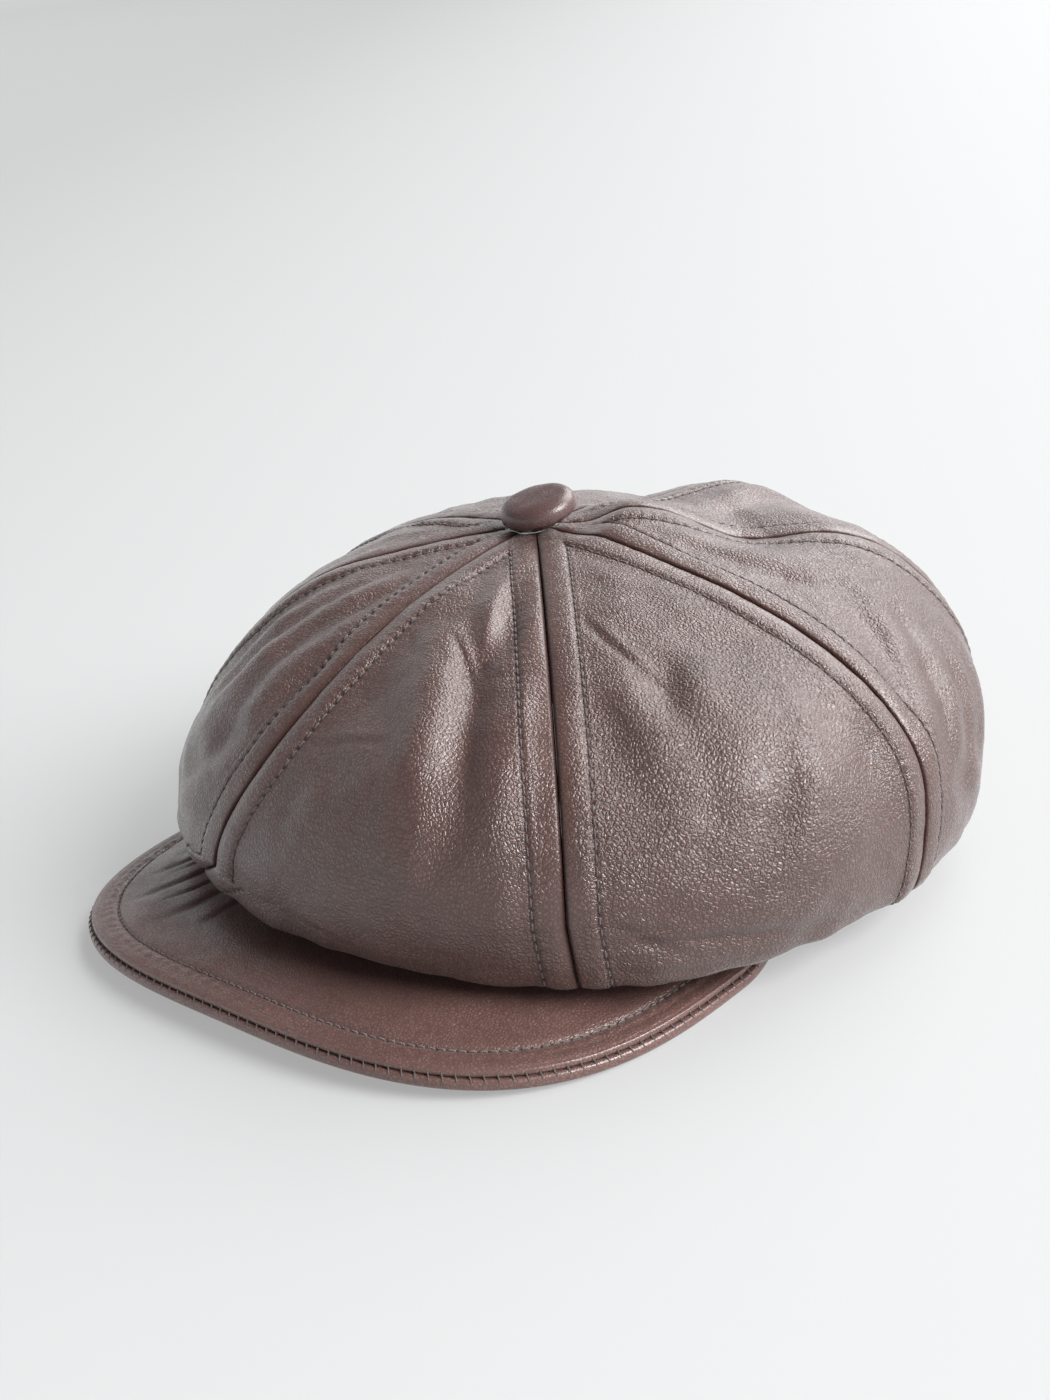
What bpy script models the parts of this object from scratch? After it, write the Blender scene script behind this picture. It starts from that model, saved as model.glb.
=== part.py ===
"""Leather newsboy cap: eight-panel crown and lining, headband, stiff peak and covered top button.

Sizes are millimetres and angles degrees until a mesh is made. The peak points to -Y, the wearer's
left is +X, and the cap stands on z = 0 on its peak's rim and the back of its headband.
An azimuth of 0 is the front (-Y) and 90 is +X.
"""
import math

import bpy
from mathutils import Matrix, Vector

MM = 0.001

# --- Crown -----------------------------------------------------------------------------------
# Compass values run every 45 degrees from the front by way of +X; the soft crown slumps, so
# they differ.
APEX = Vector((0.5, 5.0, 99.0))
BELLY_REACH = (115.5, 124.5, 129.0, 128.5, 127.5, 121.5, 115.0, 112.5)
BELLY_HEIGHT = (34.0, 37.0, 40.0, 41.0, 37.0, 33.0, 31.0, 32.0)
HEM_HEIGHT = (21.5, 16.5, 13.0, 12.0, 12.0, 15.0, 19.0, 22.0)
HEM_TUCK = 4.5
DOME_FULLNESS = 2.08
PANEL_PUFF = 1.8
# Each seam's azimuth at these places, from 0 at the apex by way of 1 at the belly to 2 at the hem.
SEAM_STATIONS = (0.0, 0.6, 1.0, 2.0)
SEAM_AZIMUTHS = (
    (0, -3, -13.5, -29), (43, 43, 43, 44), (88, 91, 93, 91.5), (131, 131, 132, 132),
    (176, 175, 175, 174), (221, 219, 218, 216), (266, 262, 260, 256), (312, 306, 304, 297),
)
SEAM_GAP = 0.6
LEATHER = 1.0
HEM_ATTACH_HEIGHT = 25.0
HEM_CLEARANCE = 1.9

LINING = 0.4
LINING_INSET = 2.2

# --- Headband --------------------------------------------------------------------------------
BAND_CENTRE_Y = 8.0
BAND_HALF_WIDTH = 86.6
BAND_HALF_LENGTH = 105.0
BAND_HEIGHT = 32.0
BAND_RISE = 12.0
BAND_SIDES = 48
BAND_LEATHER = 1.2
STIFFENER = 0.8
STIFFENER_INSET = 3.0
SWEATBAND = 0.9
LAYER_GAP = 0.35

# --- Peak ------------------------------------------------------------------------------------
PEAK_HALF_WIDTH = 104.5
PEAK_SIDE_Y = -45.0
PEAK_DEPTH = 94.5
PEAK_SQUARENESS = 2.9
PEAK_SEAM_SPAN = 78.0
PEAK_TIP_WIDTH = 9.0
PEAK_CORNER_SHARE = 0.12
PEAK_CLEARANCE = 1.9
PEAK_COVER = 0.9
PEAK_HALF_THICKNESS = 2.6
PEAK_BOARD = 2.2
PEAK_LIP_RADIUS = 0.75
PEAK_LIP_WIDTH = 5.2
BOARD_SHARE = 0.97
BOARD_SEAM_INSET = 1.2
RIM_ARCH = 6.0

# --- Button ----------------------------------------------------------------------------------
BUTTON_PLACE = APEX + Vector((1.8, 1.7, 1.0))
BUTTON_TILT = 12.0
BUTTON_LEAN_AZIMUTH = 76.0
BUTTON_RADIUS = 11.5
BUTTON_RIM_HEIGHT = 5.2
BUTTON_TOP_HEIGHT = 9.8
BUTTON_BASE_HEIGHT = 2.6
BUTTON_BASE_RADIUS = 8.4
BUTTON_LEATHER = 0.8
BUTTON_STEPS = 28
SHELL_GAP = 0.4
SHELL_THICKNESS = 0.5
BACK_RADIUS = 7.2
BACK_THICKNESS = 0.6
SHANK_RADIUS = 1.5
SHANK_WIRE = 0.45
THREAD_WIRE = 0.35
ANCHOR_RADIUS = 8.0
ANCHOR_THICKNESS = 1.2
ANCHOR_DROP = 4.2


def clear_scene():
    """Remove whatever the scene holds."""
    for item in list(bpy.data.objects):
        bpy.data.objects.remove(item, do_unlink=True)


def new_collection(name):
    """Make a collection linked to the scene."""
    collection = bpy.data.collections.new(name)
    bpy.context.scene.collection.children.link(collection)
    return collection


def new_material(name, colour, roughness, metallic=0.0):
    """Make a Principled material with one colour."""
    material = bpy.data.materials.new(name)
    material.use_nodes = True
    shader = material.node_tree.nodes["Principled BSDF"]
    shader.inputs["Base Color"].default_value = (*colour, 1.0)
    shader.inputs["Roughness"].default_value = roughness
    shader.inputs["Metallic"].default_value = metallic
    material.diffuse_color = (*colour, 1.0)
    return material


def new_empty(name, collection, parent=None, location=(0, 0, 0)):
    """Make an empty that places or turns the pieces parented to it; location is in millimetres."""
    empty = bpy.data.objects.new(name, None)
    empty.empty_display_size = 0.01
    empty.location = Vector(location) * MM
    empty.parent = parent
    collection.objects.link(empty)
    return empty


def add_object(name, data, material, collection, parent):
    """Link an object with its own material under a parent empty."""
    item = bpy.data.objects.new(name, data)
    item.data.materials.append(material)
    item.parent = parent
    collection.objects.link(item)
    return item


def add_solidify(item, thickness, offset=0.0):
    """Thicken an open surface; the thickness is in millimetres."""
    solidify = item.modifiers.new("Solidify", "SOLIDIFY")
    solidify.thickness = thickness * MM
    solidify.offset = offset
    solidify.use_even_offset = True
    solidify.use_quality_normals = True


def skin(name, rows, thickness, look, closed=False, offset=0.0):
    """Loft quads through rows of points in millimetres and thicken them; closed joins the ends."""
    material, collection, parent = look
    columns = len(rows[0])
    faces = []
    for row in range(len(rows) - 1):
        for column in range(columns if closed else columns - 1):
            following = (column + 1) % columns
            low, high = row * columns, (row + 1) * columns
            faces.append((low + column, low + following, high + following, high + column))
    mesh = bpy.data.meshes.new(name)
    mesh.from_pydata([point * MM for line in rows for point in line], [], faces)
    mesh.shade_smooth()
    item = add_object(name, mesh, material, collection, parent)
    add_solidify(item, thickness, offset)
    return item


def turned(name, profile, look, thickness=0.0, steps=BUTTON_STEPS):
    """Turn an (radius, height) profile, in millimetres, about the local Z axis."""
    material, collection, parent = look
    mesh = bpy.data.meshes.new(name)
    points = [(radius * MM, 0.0, height * MM) for radius, height in profile]
    mesh.from_pydata(points, [(i, i + 1) for i in range(len(points) - 1)], [])
    item = add_object(name, mesh, material, collection, parent)
    screw = item.modifiers.new("Screw", "SCREW")
    screw.steps = steps
    screw.render_steps = steps
    screw.use_merge_vertices = True
    screw.merge_threshold = 0.00001
    screw.use_smooth_shade = True
    if thickness:
        add_solidify(item, thickness, offset=-1.0)
    return item


def wire(name, points, radius, look, cyclic=False):
    """Make a round wire through points in millimetres."""
    material, collection, parent = look
    curve = bpy.data.curves.new(name, "CURVE")
    curve.dimensions = "3D"
    curve.bevel_depth = radius * MM
    curve.bevel_resolution = 2
    curve.use_fill_caps = True
    spline = curve.splines.new("POLY")
    spline.points.add(len(points) - 1)
    for slot, point in zip(spline.points, points):
        slot.co = (*(Vector(point) * MM), 1.0)
    spline.use_cyclic_u = cyclic
    return add_object(name, curve, material, collection, parent)


def spread(first, last, count):
    """Give count + 1 evenly spaced values from first to last."""
    return [first + (last - first) * i / count for i in range(count + 1)]


def blend(first, last, share):
    """Mix two numbers or vectors."""
    return first + (last - first) * share


# --- Shapes ----------------------------------------------------------------------------------


def around(compass, azimuth):
    """Run smoothly through eight compass values; the azimuth is in radians."""
    total = 0.0
    for index, value in enumerate(compass):
        turn = azimuth - index * math.pi / 4
        waves = math.cos(turn) + math.cos(2 * turn) + math.cos(3 * turn) + math.cos(4 * turn) / 2
        total += value * (1 + 2 * waves) / 8
    return total


def outward(azimuth):
    """Give the level direction at an azimuth in radians."""
    return Vector((math.sin(azimuth), -math.cos(azimuth), 0.0))


def band_base(y):
    """Give the height of the headband's lower edge: on the table at the back, raised in front."""
    back = BAND_CENTRE_Y + BAND_HALF_LENGTH
    return BAND_RISE * (back - y) / (2 * BAND_HALF_LENGTH)


def band_point(azimuth, offset, height):
    """Give a point on the oval headband, offset outward from its outer face."""
    x = (BAND_HALF_WIDTH + offset) * math.sin(azimuth)
    y = BAND_CENTRE_Y - (BAND_HALF_LENGTH + offset) * math.cos(azimuth)
    return Vector((x, y, band_base(y) + height))


def crown_surface(azimuth, s):
    """Give a point on the crown; s is 0 at the apex, 1 at the belly, 2 at the hem, 3 at the band."""
    reach = around(BELLY_REACH, azimuth)
    belly = around(BELLY_HEIGHT, azimuth)
    hem = around(HEM_HEIGHT, azimuth)
    if s <= 1:
        turn = s * math.pi / 2
        radius = reach * math.sin(turn) ** (2 / DOME_FULLNESS)
        height = belly + (APEX.z - belly) * max(math.cos(turn), 0.0) ** (2 / DOME_FULLNESS)
        lean = Vector((APEX.x, APEX.y, 0.0)) * math.cos(turn)
        return outward(azimuth) * radius + lean + Vector((0, 0, height))
    if s <= 2:
        turn = (s - 1) * math.pi / 2
        radius = reach - HEM_TUCK * (1 - math.cos(turn))
        return outward(azimuth) * radius + Vector((0, 0, belly - (belly - hem) * math.sin(turn)))
    fold = outward(azimuth) * (reach - HEM_TUCK) + Vector((0, 0, hem))
    attach = band_point(azimuth, HEM_CLEARANCE + LEATHER / 2, HEM_ATTACH_HEIGHT)
    span = attach - fold
    level = Vector((span.x, span.y, 0.0))
    bend = fold + level * 0.55
    share = s - 2
    return blend(blend(fold, bend, share), blend(bend, attach, share), share)


def seam_azimuth(seam, s):
    """Give a seam's azimuth in radians at a place along it."""
    turns, index = divmod(seam, len(SEAM_AZIMUTHS))
    azimuths = SEAM_AZIMUTHS[index]
    azimuth = azimuths[-1]
    for station in range(len(SEAM_STATIONS) - 1):
        low, high = SEAM_STATIONS[station], SEAM_STATIONS[station + 1]
        if low <= s < high:
            azimuth = blend(azimuths[station], azimuths[station + 1], (s - low) / (high - low))
    return math.radians(azimuth + 360 * turns)


def seam_margin(seam, s):
    """Give half a seam's gap as an angle, allowing for a seam that runs aslant."""
    step = 0.02
    azimuth = seam_azimuth(seam, s)
    above = max(s - step, 0.001)
    below = min(s + step, 3.0)
    length = (crown_surface(azimuth, below) - crown_surface(azimuth, above)).length
    lean = Vector((APEX.x, APEX.y)) * max(math.cos(min(s, 1.0) * math.pi / 2), 0.0)
    radius = (crown_surface(azimuth, s).xy - lean).length
    swing = radius * (seam_azimuth(seam, below) - seam_azimuth(seam, above))
    return SEAM_GAP / 2 / radius * math.hypot(length, swing) / length


def panel_point(panel, across, s, inset):
    """Give a point of a gore; across runs 0 to 1 between its seams, inset is the depth inside."""
    start = seam_azimuth(panel, s) + seam_margin(panel, s)
    end = seam_azimuth(panel + 1, s) - seam_margin(panel + 1, s)
    azimuth = blend(start, end, across)
    step = 0.01
    point = crown_surface(azimuth, s)
    along = crown_surface(azimuth, min(s + step, 3.0)) - crown_surface(azimuth, max(s - step, 0.001))
    sideways = crown_surface(azimuth + step, s) - crown_surface(azimuth - step, s)
    normal = along.cross(sideways).normalized()
    puff = PANEL_PUFF * 4 * across * (1 - across) * math.sin(math.pi * min(s, 2.0) / 2)
    return point + normal * (puff - inset)


def peak_rim(share):
    """Give the peak's outline; share runs -1 to 1 round the rim. Also gives how far it turns in."""
    side = math.copysign(1.0, share)
    corner_start = 1 - PEAK_CORNER_SHARE
    if abs(share) <= corner_start:
        swing = abs(share) / corner_start * math.pi / 2
        x = PEAK_HALF_WIDTH * math.sin(swing) ** (2 / PEAK_SQUARENESS)
        y = PEAK_SIDE_Y - PEAK_DEPTH * max(math.cos(swing), 0.0) ** (2 / PEAK_SQUARENESS)
        return Vector((side * x, y)), 0.0
    swing = (abs(share) - corner_start) / PEAK_CORNER_SHARE * math.pi / 2
    tip = band_point(math.radians(PEAK_SEAM_SPAN), PEAK_TIP_WIDTH, 0.0)
    x = tip.x + (PEAK_HALF_WIDTH - tip.x) * math.cos(swing)
    y = PEAK_SIDE_Y + (tip.y - PEAK_SIDE_Y) * math.sin(swing)
    return Vector((side * x, y)), math.sin(swing)


def even_shares(count, samples=600):
    """Give rim shares whose points are evenly spaced along the rim."""
    shares = spread(-1.0, 1.0, samples)
    lengths = [0.0]
    for first, last in zip(shares, shares[1:]):
        lengths.append(lengths[-1] + (peak_rim(last)[0] - peak_rim(first)[0]).length)
    picked = []
    index = 0
    for target in spread(0.0, lengths[-1], count):
        while index < samples - 1 and lengths[index + 1] < target:
            index += 1
        gap = lengths[index + 1] - lengths[index]
        picked.append(blend(shares[index], shares[index + 1], (target - lengths[index]) / gap))
    return picked


def rim_frames(count):
    """Give, for evenly spaced places, the seam point, the rim point and the rim's outward side."""
    outline = [peak_rim(share) for share in even_shares(count)]
    frames = []
    for index, position in enumerate(spread(-1.0, 1.0, count)):
        seam = band_point(math.radians(position * PEAK_SEAM_SPAN), PEAK_CLEARANCE, 0.0)
        seam.z += PEAK_HALF_THICKNESS + LAYER_GAP
        rim, turned_in = outline[index]
        level = PEAK_HALF_THICKNESS + RIM_ARCH * (1 - (rim.x / PEAK_HALF_WIDTH) ** 2)
        height = blend(level, seam.z, turned_in ** 2)
        before = outline[max(index - 1, 0)][0]
        after = outline[min(index + 1, count)][0]
        side = (after - before).normalized()
        frames.append((seam, Vector((*rim, height)), Vector((side.y, -side.x, 0.0))))
    return frames


def peak_line(frame, flat, lip=(), seam_inset=0.0):
    """Give points across the peak: flat ones are (share, lift), lip ones are (rim inset, lift)."""
    seam, rim, side = frame
    edge = rim - side * PEAK_LIP_WIDTH
    start = seam + (edge - seam).normalized() * seam_inset
    line = [blend(start, edge, share) + Vector((0, 0, lift)) for share, lift in flat]
    line += [rim - side * inset + Vector((0, 0, lift)) for inset, lift in lip]
    return line


# --- Pieces ----------------------------------------------------------------------------------


def make_crown(collection, parent):
    """Eight leather gores, folded under at the hem and run in to the headband."""
    rows = [0.02] + spread(0.12, 1.0, 7) + spread(1.3, 2.0, 2) + spread(2.3, 3.0, 2)
    for panel in range(len(SEAM_AZIMUTHS)):
        name = "crown_panel_%d" % (panel + 1)
        leather = new_material(name, (0.105, 0.080, 0.076), 0.45)
        grid = [[panel_point(panel, across, s, 0.0) for across in spread(0, 1, 6)] for s in rows]
        skin(name, grid, LEATHER, (leather, collection, parent))


def make_lining(collection, parent):
    """Eight lining gores hung just inside the crown."""
    rows = [0.03] + spread(0.2, 1.0, 4) + [1.5, 2.0, 2.5, 3.0]
    for panel in range(len(SEAM_AZIMUTHS)):
        name = "lining_panel_%d" % (panel + 1)
        cloth = new_material(name, (0.030, 0.026, 0.028), 0.6)
        grid = [[panel_point(panel, across, s, LINING_INSET) for across in spread(0, 1, 4)] for s in rows]
        skin(name, grid, LINING, (cloth, collection, parent))


def make_band_layer(name, depth, thickness, low, high, look):
    """One oval layer of the headband, its outer face at a depth inside the band's outer face."""
    azimuths = spread(0.0, 2 * math.pi, BAND_SIDES)[:-1]
    grid = [[band_point(azimuth, -depth, height) for azimuth in azimuths] for height in (high, low)]
    skin(name, grid, thickness, look, closed=True, offset=-1.0)


def make_headband(collection, parent):
    """Outer leather stand, buckram stiffener and leather sweatband."""
    leather = new_material("headband", (0.095, 0.072, 0.068), 0.45)
    make_band_layer("headband", 0.0, BAND_LEATHER, 0.0, BAND_HEIGHT, (leather, collection, parent))
    buckram = new_material("band_stiffener", (0.55, 0.52, 0.45), 0.8)
    depth = BAND_LEATHER + LAYER_GAP
    top = BAND_HEIGHT - STIFFENER_INSET
    look = (buckram, collection, parent)
    make_band_layer("band_stiffener", depth, STIFFENER, STIFFENER_INSET, top, look)
    sweat = new_material("sweatband", (0.060, 0.045, 0.040), 0.5)
    depth += STIFFENER + LAYER_GAP
    look = (sweat, collection, parent)
    make_band_layer("sweatband", depth, SWEATBAND, LAYER_GAP, BAND_HEIGHT, look)


def make_peak_cover(name, facing, look, frames):
    """A leather cover of the peak; facing is 1 above the board and -1 below it."""
    middle = PEAK_HALF_THICKNESS - PEAK_COVER / 2
    centre = middle - PEAK_LIP_RADIUS
    reach = PEAK_LIP_RADIUS + PEAK_COVER / 2
    flat = [(share, facing * middle) for share in (0.0, 0.35, 0.7, 1.0)]
    lip = []
    for turn in spread(math.pi / 2, -math.pi / 2, 4):
        inset = reach - PEAK_LIP_RADIUS * math.cos(turn)
        lip.append((inset, facing * (centre + PEAK_LIP_RADIUS * math.sin(turn))))
    lip.append((PEAK_LIP_WIDTH, facing * (centre - PEAK_LIP_RADIUS)))
    lines = [peak_line(frame, flat, lip) for frame in frames]
    if facing > 0:
        lines.reverse()
    skin(name, lines, PEAK_COVER, look)


def make_peak(collection, parent):
    """Stiff board between two leather covers whose edges roll in to meet along the rim."""
    frames = rim_frames(30)
    top = new_material("peak_top_cover", (0.085, 0.054, 0.048), 0.32)
    make_peak_cover("peak_top_cover", 1, (top, collection, parent), frames)
    under = new_material("peak_bottom_cover", (0.075, 0.050, 0.045), 0.4)
    make_peak_cover("peak_bottom_cover", -1, (under, collection, parent), frames)
    plastic = new_material("peak_board", (0.75, 0.74, 0.70), 0.5)
    flat = [(share, 0.0) for share in (0.0, 0.35, 0.7, BOARD_SHARE)]
    lines = [peak_line(frame, flat, seam_inset=BOARD_SEAM_INSET) for frame in frames[1:-1]]
    skin("peak_board", lines[::-1], PEAK_BOARD, (plastic, collection, parent))


def arc(centre, radii, start, end, count):
    """Give (radius, height) points on an elliptical arc, angles in degrees from level."""
    points = []
    for angle in spread(start, end, count):
        turn = math.radians(angle)
        radius = centre[0] + radii[0] * math.cos(turn)
        points.append((radius, centre[1] + radii[1] * math.sin(turn)))
    return points


def dome_profile(inset):
    """Give the button's section, a given distance inside its outer face, top to bottom."""
    rim = BUTTON_RADIUS - inset
    top = BUTTON_TOP_HEIGHT - inset - BUTTON_RIM_HEIGHT
    upper = arc((0.0, BUTTON_RIM_HEIGHT), (rim, top), 88, 0, 6)
    base = BUTTON_BASE_HEIGHT + inset
    return upper + [(blend(rim, BUTTON_BASE_RADIUS, 0.35), blend(BUTTON_RIM_HEIGHT, base, 0.7)),
                    (BUTTON_BASE_RADIUS, base)]


def make_button(collection, turn, rock):
    """Leather-covered metal shell with a back plate and a wire shank, tied through the apex."""
    leather = new_material("button_cover", (0.150, 0.105, 0.100), 0.35)
    profile = dome_profile(0.0)
    profile[0] = (0.0, BUTTON_TOP_HEIGHT)
    turned("button_cover", profile, (leather, collection, rock), BUTTON_LEATHER)
    metal = new_material("button_shell", (0.62, 0.62, 0.64), 0.35, 1.0)
    profile = dome_profile(BUTTON_LEATHER + SHELL_GAP)[:-2]
    profile[0] = (0.0, BUTTON_TOP_HEIGHT - BUTTON_LEATHER - SHELL_GAP)
    turned("button_shell", profile, (metal, collection, rock), SHELL_THICKNESS)
    steel = new_material("button_back", (0.60, 0.60, 0.62), 0.4, 1.0)
    low = BUTTON_BASE_HEIGHT + 0.3
    disc = [(0.0, low + BACK_THICKNESS), (BACK_RADIUS, low + BACK_THICKNESS), (BACK_RADIUS, low), (0.0, low)]
    turned("button_back", disc, (steel, collection, rock))
    loop_top = low - LAYER_GAP
    centre = loop_top - SHANK_WIRE - SHANK_RADIUS
    ring = []
    for angle in spread(0, 360, 16)[:-1]:
        swing = math.radians(angle)
        ring.append((SHANK_RADIUS * math.cos(swing), 0.0, centre + SHANK_RADIUS * math.sin(swing)))
    brass = new_material("button_shank", (0.70, 0.62, 0.40), 0.35, 1.0)
    wire("button_shank", ring, SHANK_WIRE, (brass, collection, rock), cyclic=True)
    cotton = new_material("button_thread", (0.80, 0.78, 0.75), 0.9)
    bend = SHANK_WIRE + THREAD_WIRE + 0.25
    floor = -ANCHOR_DROP + LAYER_GAP
    hook = [(0.0, bend, floor)]
    for angle in spread(0, 180, 6):
        swing = math.radians(angle)
        hook.append((0.0, bend * math.cos(swing), bend * math.sin(swing)))
    hook.append((0.0, -bend, floor))
    wire("button_thread", hook, THREAD_WIRE, (cotton, collection, turn))


def make_anchor(collection, parent):
    """Leather washer under the lining that the button's thread is tied to."""
    leather = new_material("button_anchor", (0.06, 0.05, 0.045), 0.7)
    top = -ANCHOR_DROP
    low = top - ANCHOR_THICKNESS
    disc = [(0.0, top), (ANCHOR_RADIUS, top), (ANCHOR_RADIUS, low), (0.0, low)]
    turned("button_anchor", disc, (leather, collection, parent), steps=24)


def base_centre(collection):
    """Give the bottom centre of the box that holds every piece, in metres."""
    depsgraph = bpy.context.evaluated_depsgraph_get()
    corners = []
    for item in collection.objects:
        if item.type != "EMPTY":
            evaluated = item.evaluated_get(depsgraph)
            mesh = evaluated.to_mesh()
            corners += [evaluated.matrix_world @ vertex.co for vertex in mesh.vertices]
            evaluated.to_mesh_clear()
    low = [min(corner[axis] for corner in corners) for axis in range(3)]
    high = [max(corner[axis] for corner in corners) for axis in range(3)]
    return Vector(((low[0] + high[0]) / 2, (low[1] + high[1]) / 2, low[2]))


def main():
    """Build the cap and stand it on the origin."""
    clear_scene()
    collection = new_collection("newsboy_cap")
    root = new_empty("cap_origin", collection)
    apex_empty = new_empty("apex", collection, root, BUTTON_PLACE)
    turn = new_empty("button_turn_axis", collection, root, BUTTON_PLACE)
    rock = new_empty("button_rock_axis", collection, turn)
    lean = outward(math.radians(BUTTON_LEAN_AZIMUTH))
    rock.matrix_local = Matrix.Rotation(math.radians(BUTTON_TILT), 4, lean)
    hinge = Vector((0.0, band_point(math.radians(PEAK_SEAM_SPAN / 2), 0.0, 0.0).y, 0.0))
    hinge.z = band_base(hinge.y) + PEAK_HALF_THICKNESS
    peak_axis = new_empty("peak_axis", collection, root, hinge)
    peak_axis_offset = new_empty("peak_frame", collection, peak_axis, -hinge)
    make_crown(collection, root)
    make_lining(collection, root)
    make_headband(collection, root)
    make_peak(collection, peak_axis_offset)
    make_anchor(collection, apex_empty)
    make_button(collection, turn, rock)
    bpy.context.view_layer.update()
    root.location = -base_centre(collection)
    bpy.context.view_layer.update()


main()
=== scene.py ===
"""Looks of the leather newsboy cap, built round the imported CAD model.

Lengths are millimetres and angles degrees until a mesh is made. An azimuth of 0 is the front (-Y) and
90 is +X. Places come from the same driving dimensions as the CAD, measured from the crown's pole.
"""
import math

import bpy
import numpy as np
from mathutils import Matrix, Vector


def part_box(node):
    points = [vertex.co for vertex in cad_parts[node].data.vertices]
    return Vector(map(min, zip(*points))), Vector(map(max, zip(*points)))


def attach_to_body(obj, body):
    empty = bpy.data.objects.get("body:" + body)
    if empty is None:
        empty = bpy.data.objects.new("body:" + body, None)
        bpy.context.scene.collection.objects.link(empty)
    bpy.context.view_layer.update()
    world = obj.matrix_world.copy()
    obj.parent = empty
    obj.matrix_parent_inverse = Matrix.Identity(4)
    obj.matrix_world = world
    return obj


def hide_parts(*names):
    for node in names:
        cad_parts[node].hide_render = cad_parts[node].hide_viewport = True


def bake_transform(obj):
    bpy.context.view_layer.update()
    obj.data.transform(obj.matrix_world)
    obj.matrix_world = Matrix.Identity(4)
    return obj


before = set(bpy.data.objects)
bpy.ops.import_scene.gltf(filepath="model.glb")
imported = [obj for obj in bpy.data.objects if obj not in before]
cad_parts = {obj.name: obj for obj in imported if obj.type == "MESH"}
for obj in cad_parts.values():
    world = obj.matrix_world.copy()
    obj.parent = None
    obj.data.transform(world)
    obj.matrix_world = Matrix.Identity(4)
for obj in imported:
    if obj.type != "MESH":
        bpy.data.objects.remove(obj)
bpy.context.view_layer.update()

MM = 0.001

# --- The CAD's driving dimensions ---
APEX = np.array([0.5, 5.0, 99.0])
BELLY_REACH = (115.5, 124.5, 129.0, 128.5, 127.5, 121.5, 115.0, 112.5)
BELLY_HEIGHT = (34.0, 37.0, 40.0, 41.0, 37.0, 33.0, 31.0, 32.0)
HEM_HEIGHT = (21.5, 16.5, 13.0, 12.0, 12.0, 15.0, 19.0, 22.0)
HEM_TUCK = 4.5
DOME_FULLNESS = 2.08
PANEL_PUFF = 1.8
SEAM_STATIONS = (0.0, 0.6, 1.0, 2.0)
SEAM_AZIMUTHS = (
    (0, -3, -13.5, -29), (43, 43, 43, 44), (88, 91, 93, 91.5), (131, 131, 132, 132),
    (176, 175, 175, 174), (221, 219, 218, 216), (266, 262, 260, 256), (312, 306, 304, 297),
)
LEATHER = 1.0
HEM_ATTACH_HEIGHT = 25.0
HEM_CLEARANCE = 1.9
LINING_INSET = 2.7
LINING_SLACK = 3.2
BAND_CENTRE_Y = 8.0
BAND_HALF_WIDTH = 86.6
BAND_HALF_LENGTH = 105.0
BAND_HEIGHT = 32.0
BAND_RISE = 12.0
PEAK_HALF_WIDTH = 104.5
PEAK_SIDE_Y = -45.0
PEAK_DEPTH = 94.5
PEAK_SQUARENESS = 2.9
PEAK_SEAM_SPAN = 78.0
PEAK_TIP_WIDTH = 9.0
PEAK_CORNER_SHARE = 0.12
PEAK_CLEARANCE = 1.9
PEAK_HALF_THICKNESS = 2.6
PEAK_LIP_WIDTH = 5.2
RIM_ARCH = 6.0
LAYER_GAP = 0.35
BUTTON_PLACE = APEX + (1.8, 1.7, 1.0)
BUTTON_TILT = 12.0
BUTTON_LEAN_AZIMUTH = 76.0
BUTTON_RADIUS = 11.5
BUTTON_RIM_HEIGHT = 5.2
BUTTON_TOP_HEIGHT = 9.8
BUTTON_BASE_HEIGHT = 2.6
BUTTON_BASE_RADIUS = 8.4
BUTTON_THICKNESS = 0.8

band_low, band_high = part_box("headband")
ORIGIN = np.array([
    (band_low.x + band_high.x) / 2,
    (band_low.y + band_high.y) / 2 - BAND_CENTRE_Y * MM,
    band_low.z,
])

GORES = range(len(SEAM_AZIMUTHS))

# --- Seams and stitches ---
GROOVE_HALF = 0.16
EDGE_RADIUS = 0.9
EDGE_WALL = 1.5
BAND_WIDTH = 8.4
BAND_LIFT = 0.55
BAND_ROUND = 0.5
STITCH_PITCH = 3.1
STITCH_LENGTH = 2.3
THREAD_RADIUS = 0.27
FIRST_STITCH = 15.0
LAST_STITCH_PLACE = 2.25


# --- Shapes shared with the CAD ---


def blend(first, last, share):
    """Mix two numbers or arrays."""
    return first + (last - first) * share


def smooth_step(low, high, value):
    """Rise smoothly from 0 at low to 1 at high."""
    share = np.clip((value - low) / (high - low), 0.0, 1.0)
    return share * share * (3 - 2 * share)


def bell(value, width):
    """A smooth hump of height 1 at zero."""
    return np.exp(-(value / width) ** 2)


def around(compass, azimuth):
    """Run smoothly through eight values given every 45 degrees from the front by way of +X."""
    total = 0.0
    for index, value in enumerate(compass):
        turn = azimuth - index * math.pi / 4
        waves_sum = np.cos(turn) + np.cos(2 * turn) + np.cos(3 * turn) + np.cos(4 * turn) / 2
        total = total + value * (1 + 2 * waves_sum) / 8
    return total


def norm(points):
    """Lengths of vectors."""
    return np.linalg.norm(points, axis=-1)


def unit(points):
    """Vectors scaled to length 1."""
    return points / np.linalg.norm(points, axis=-1, keepdims=True)


def vectors(x, y, z):
    """Stack coordinates into points."""
    return np.stack(np.broadcast_arrays(x, y, z), axis=-1).astype(float)


def outward(azimuth):
    """The level direction at an azimuth."""
    return vectors(np.sin(azimuth), -np.cos(azimuth), 0.0)


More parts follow.
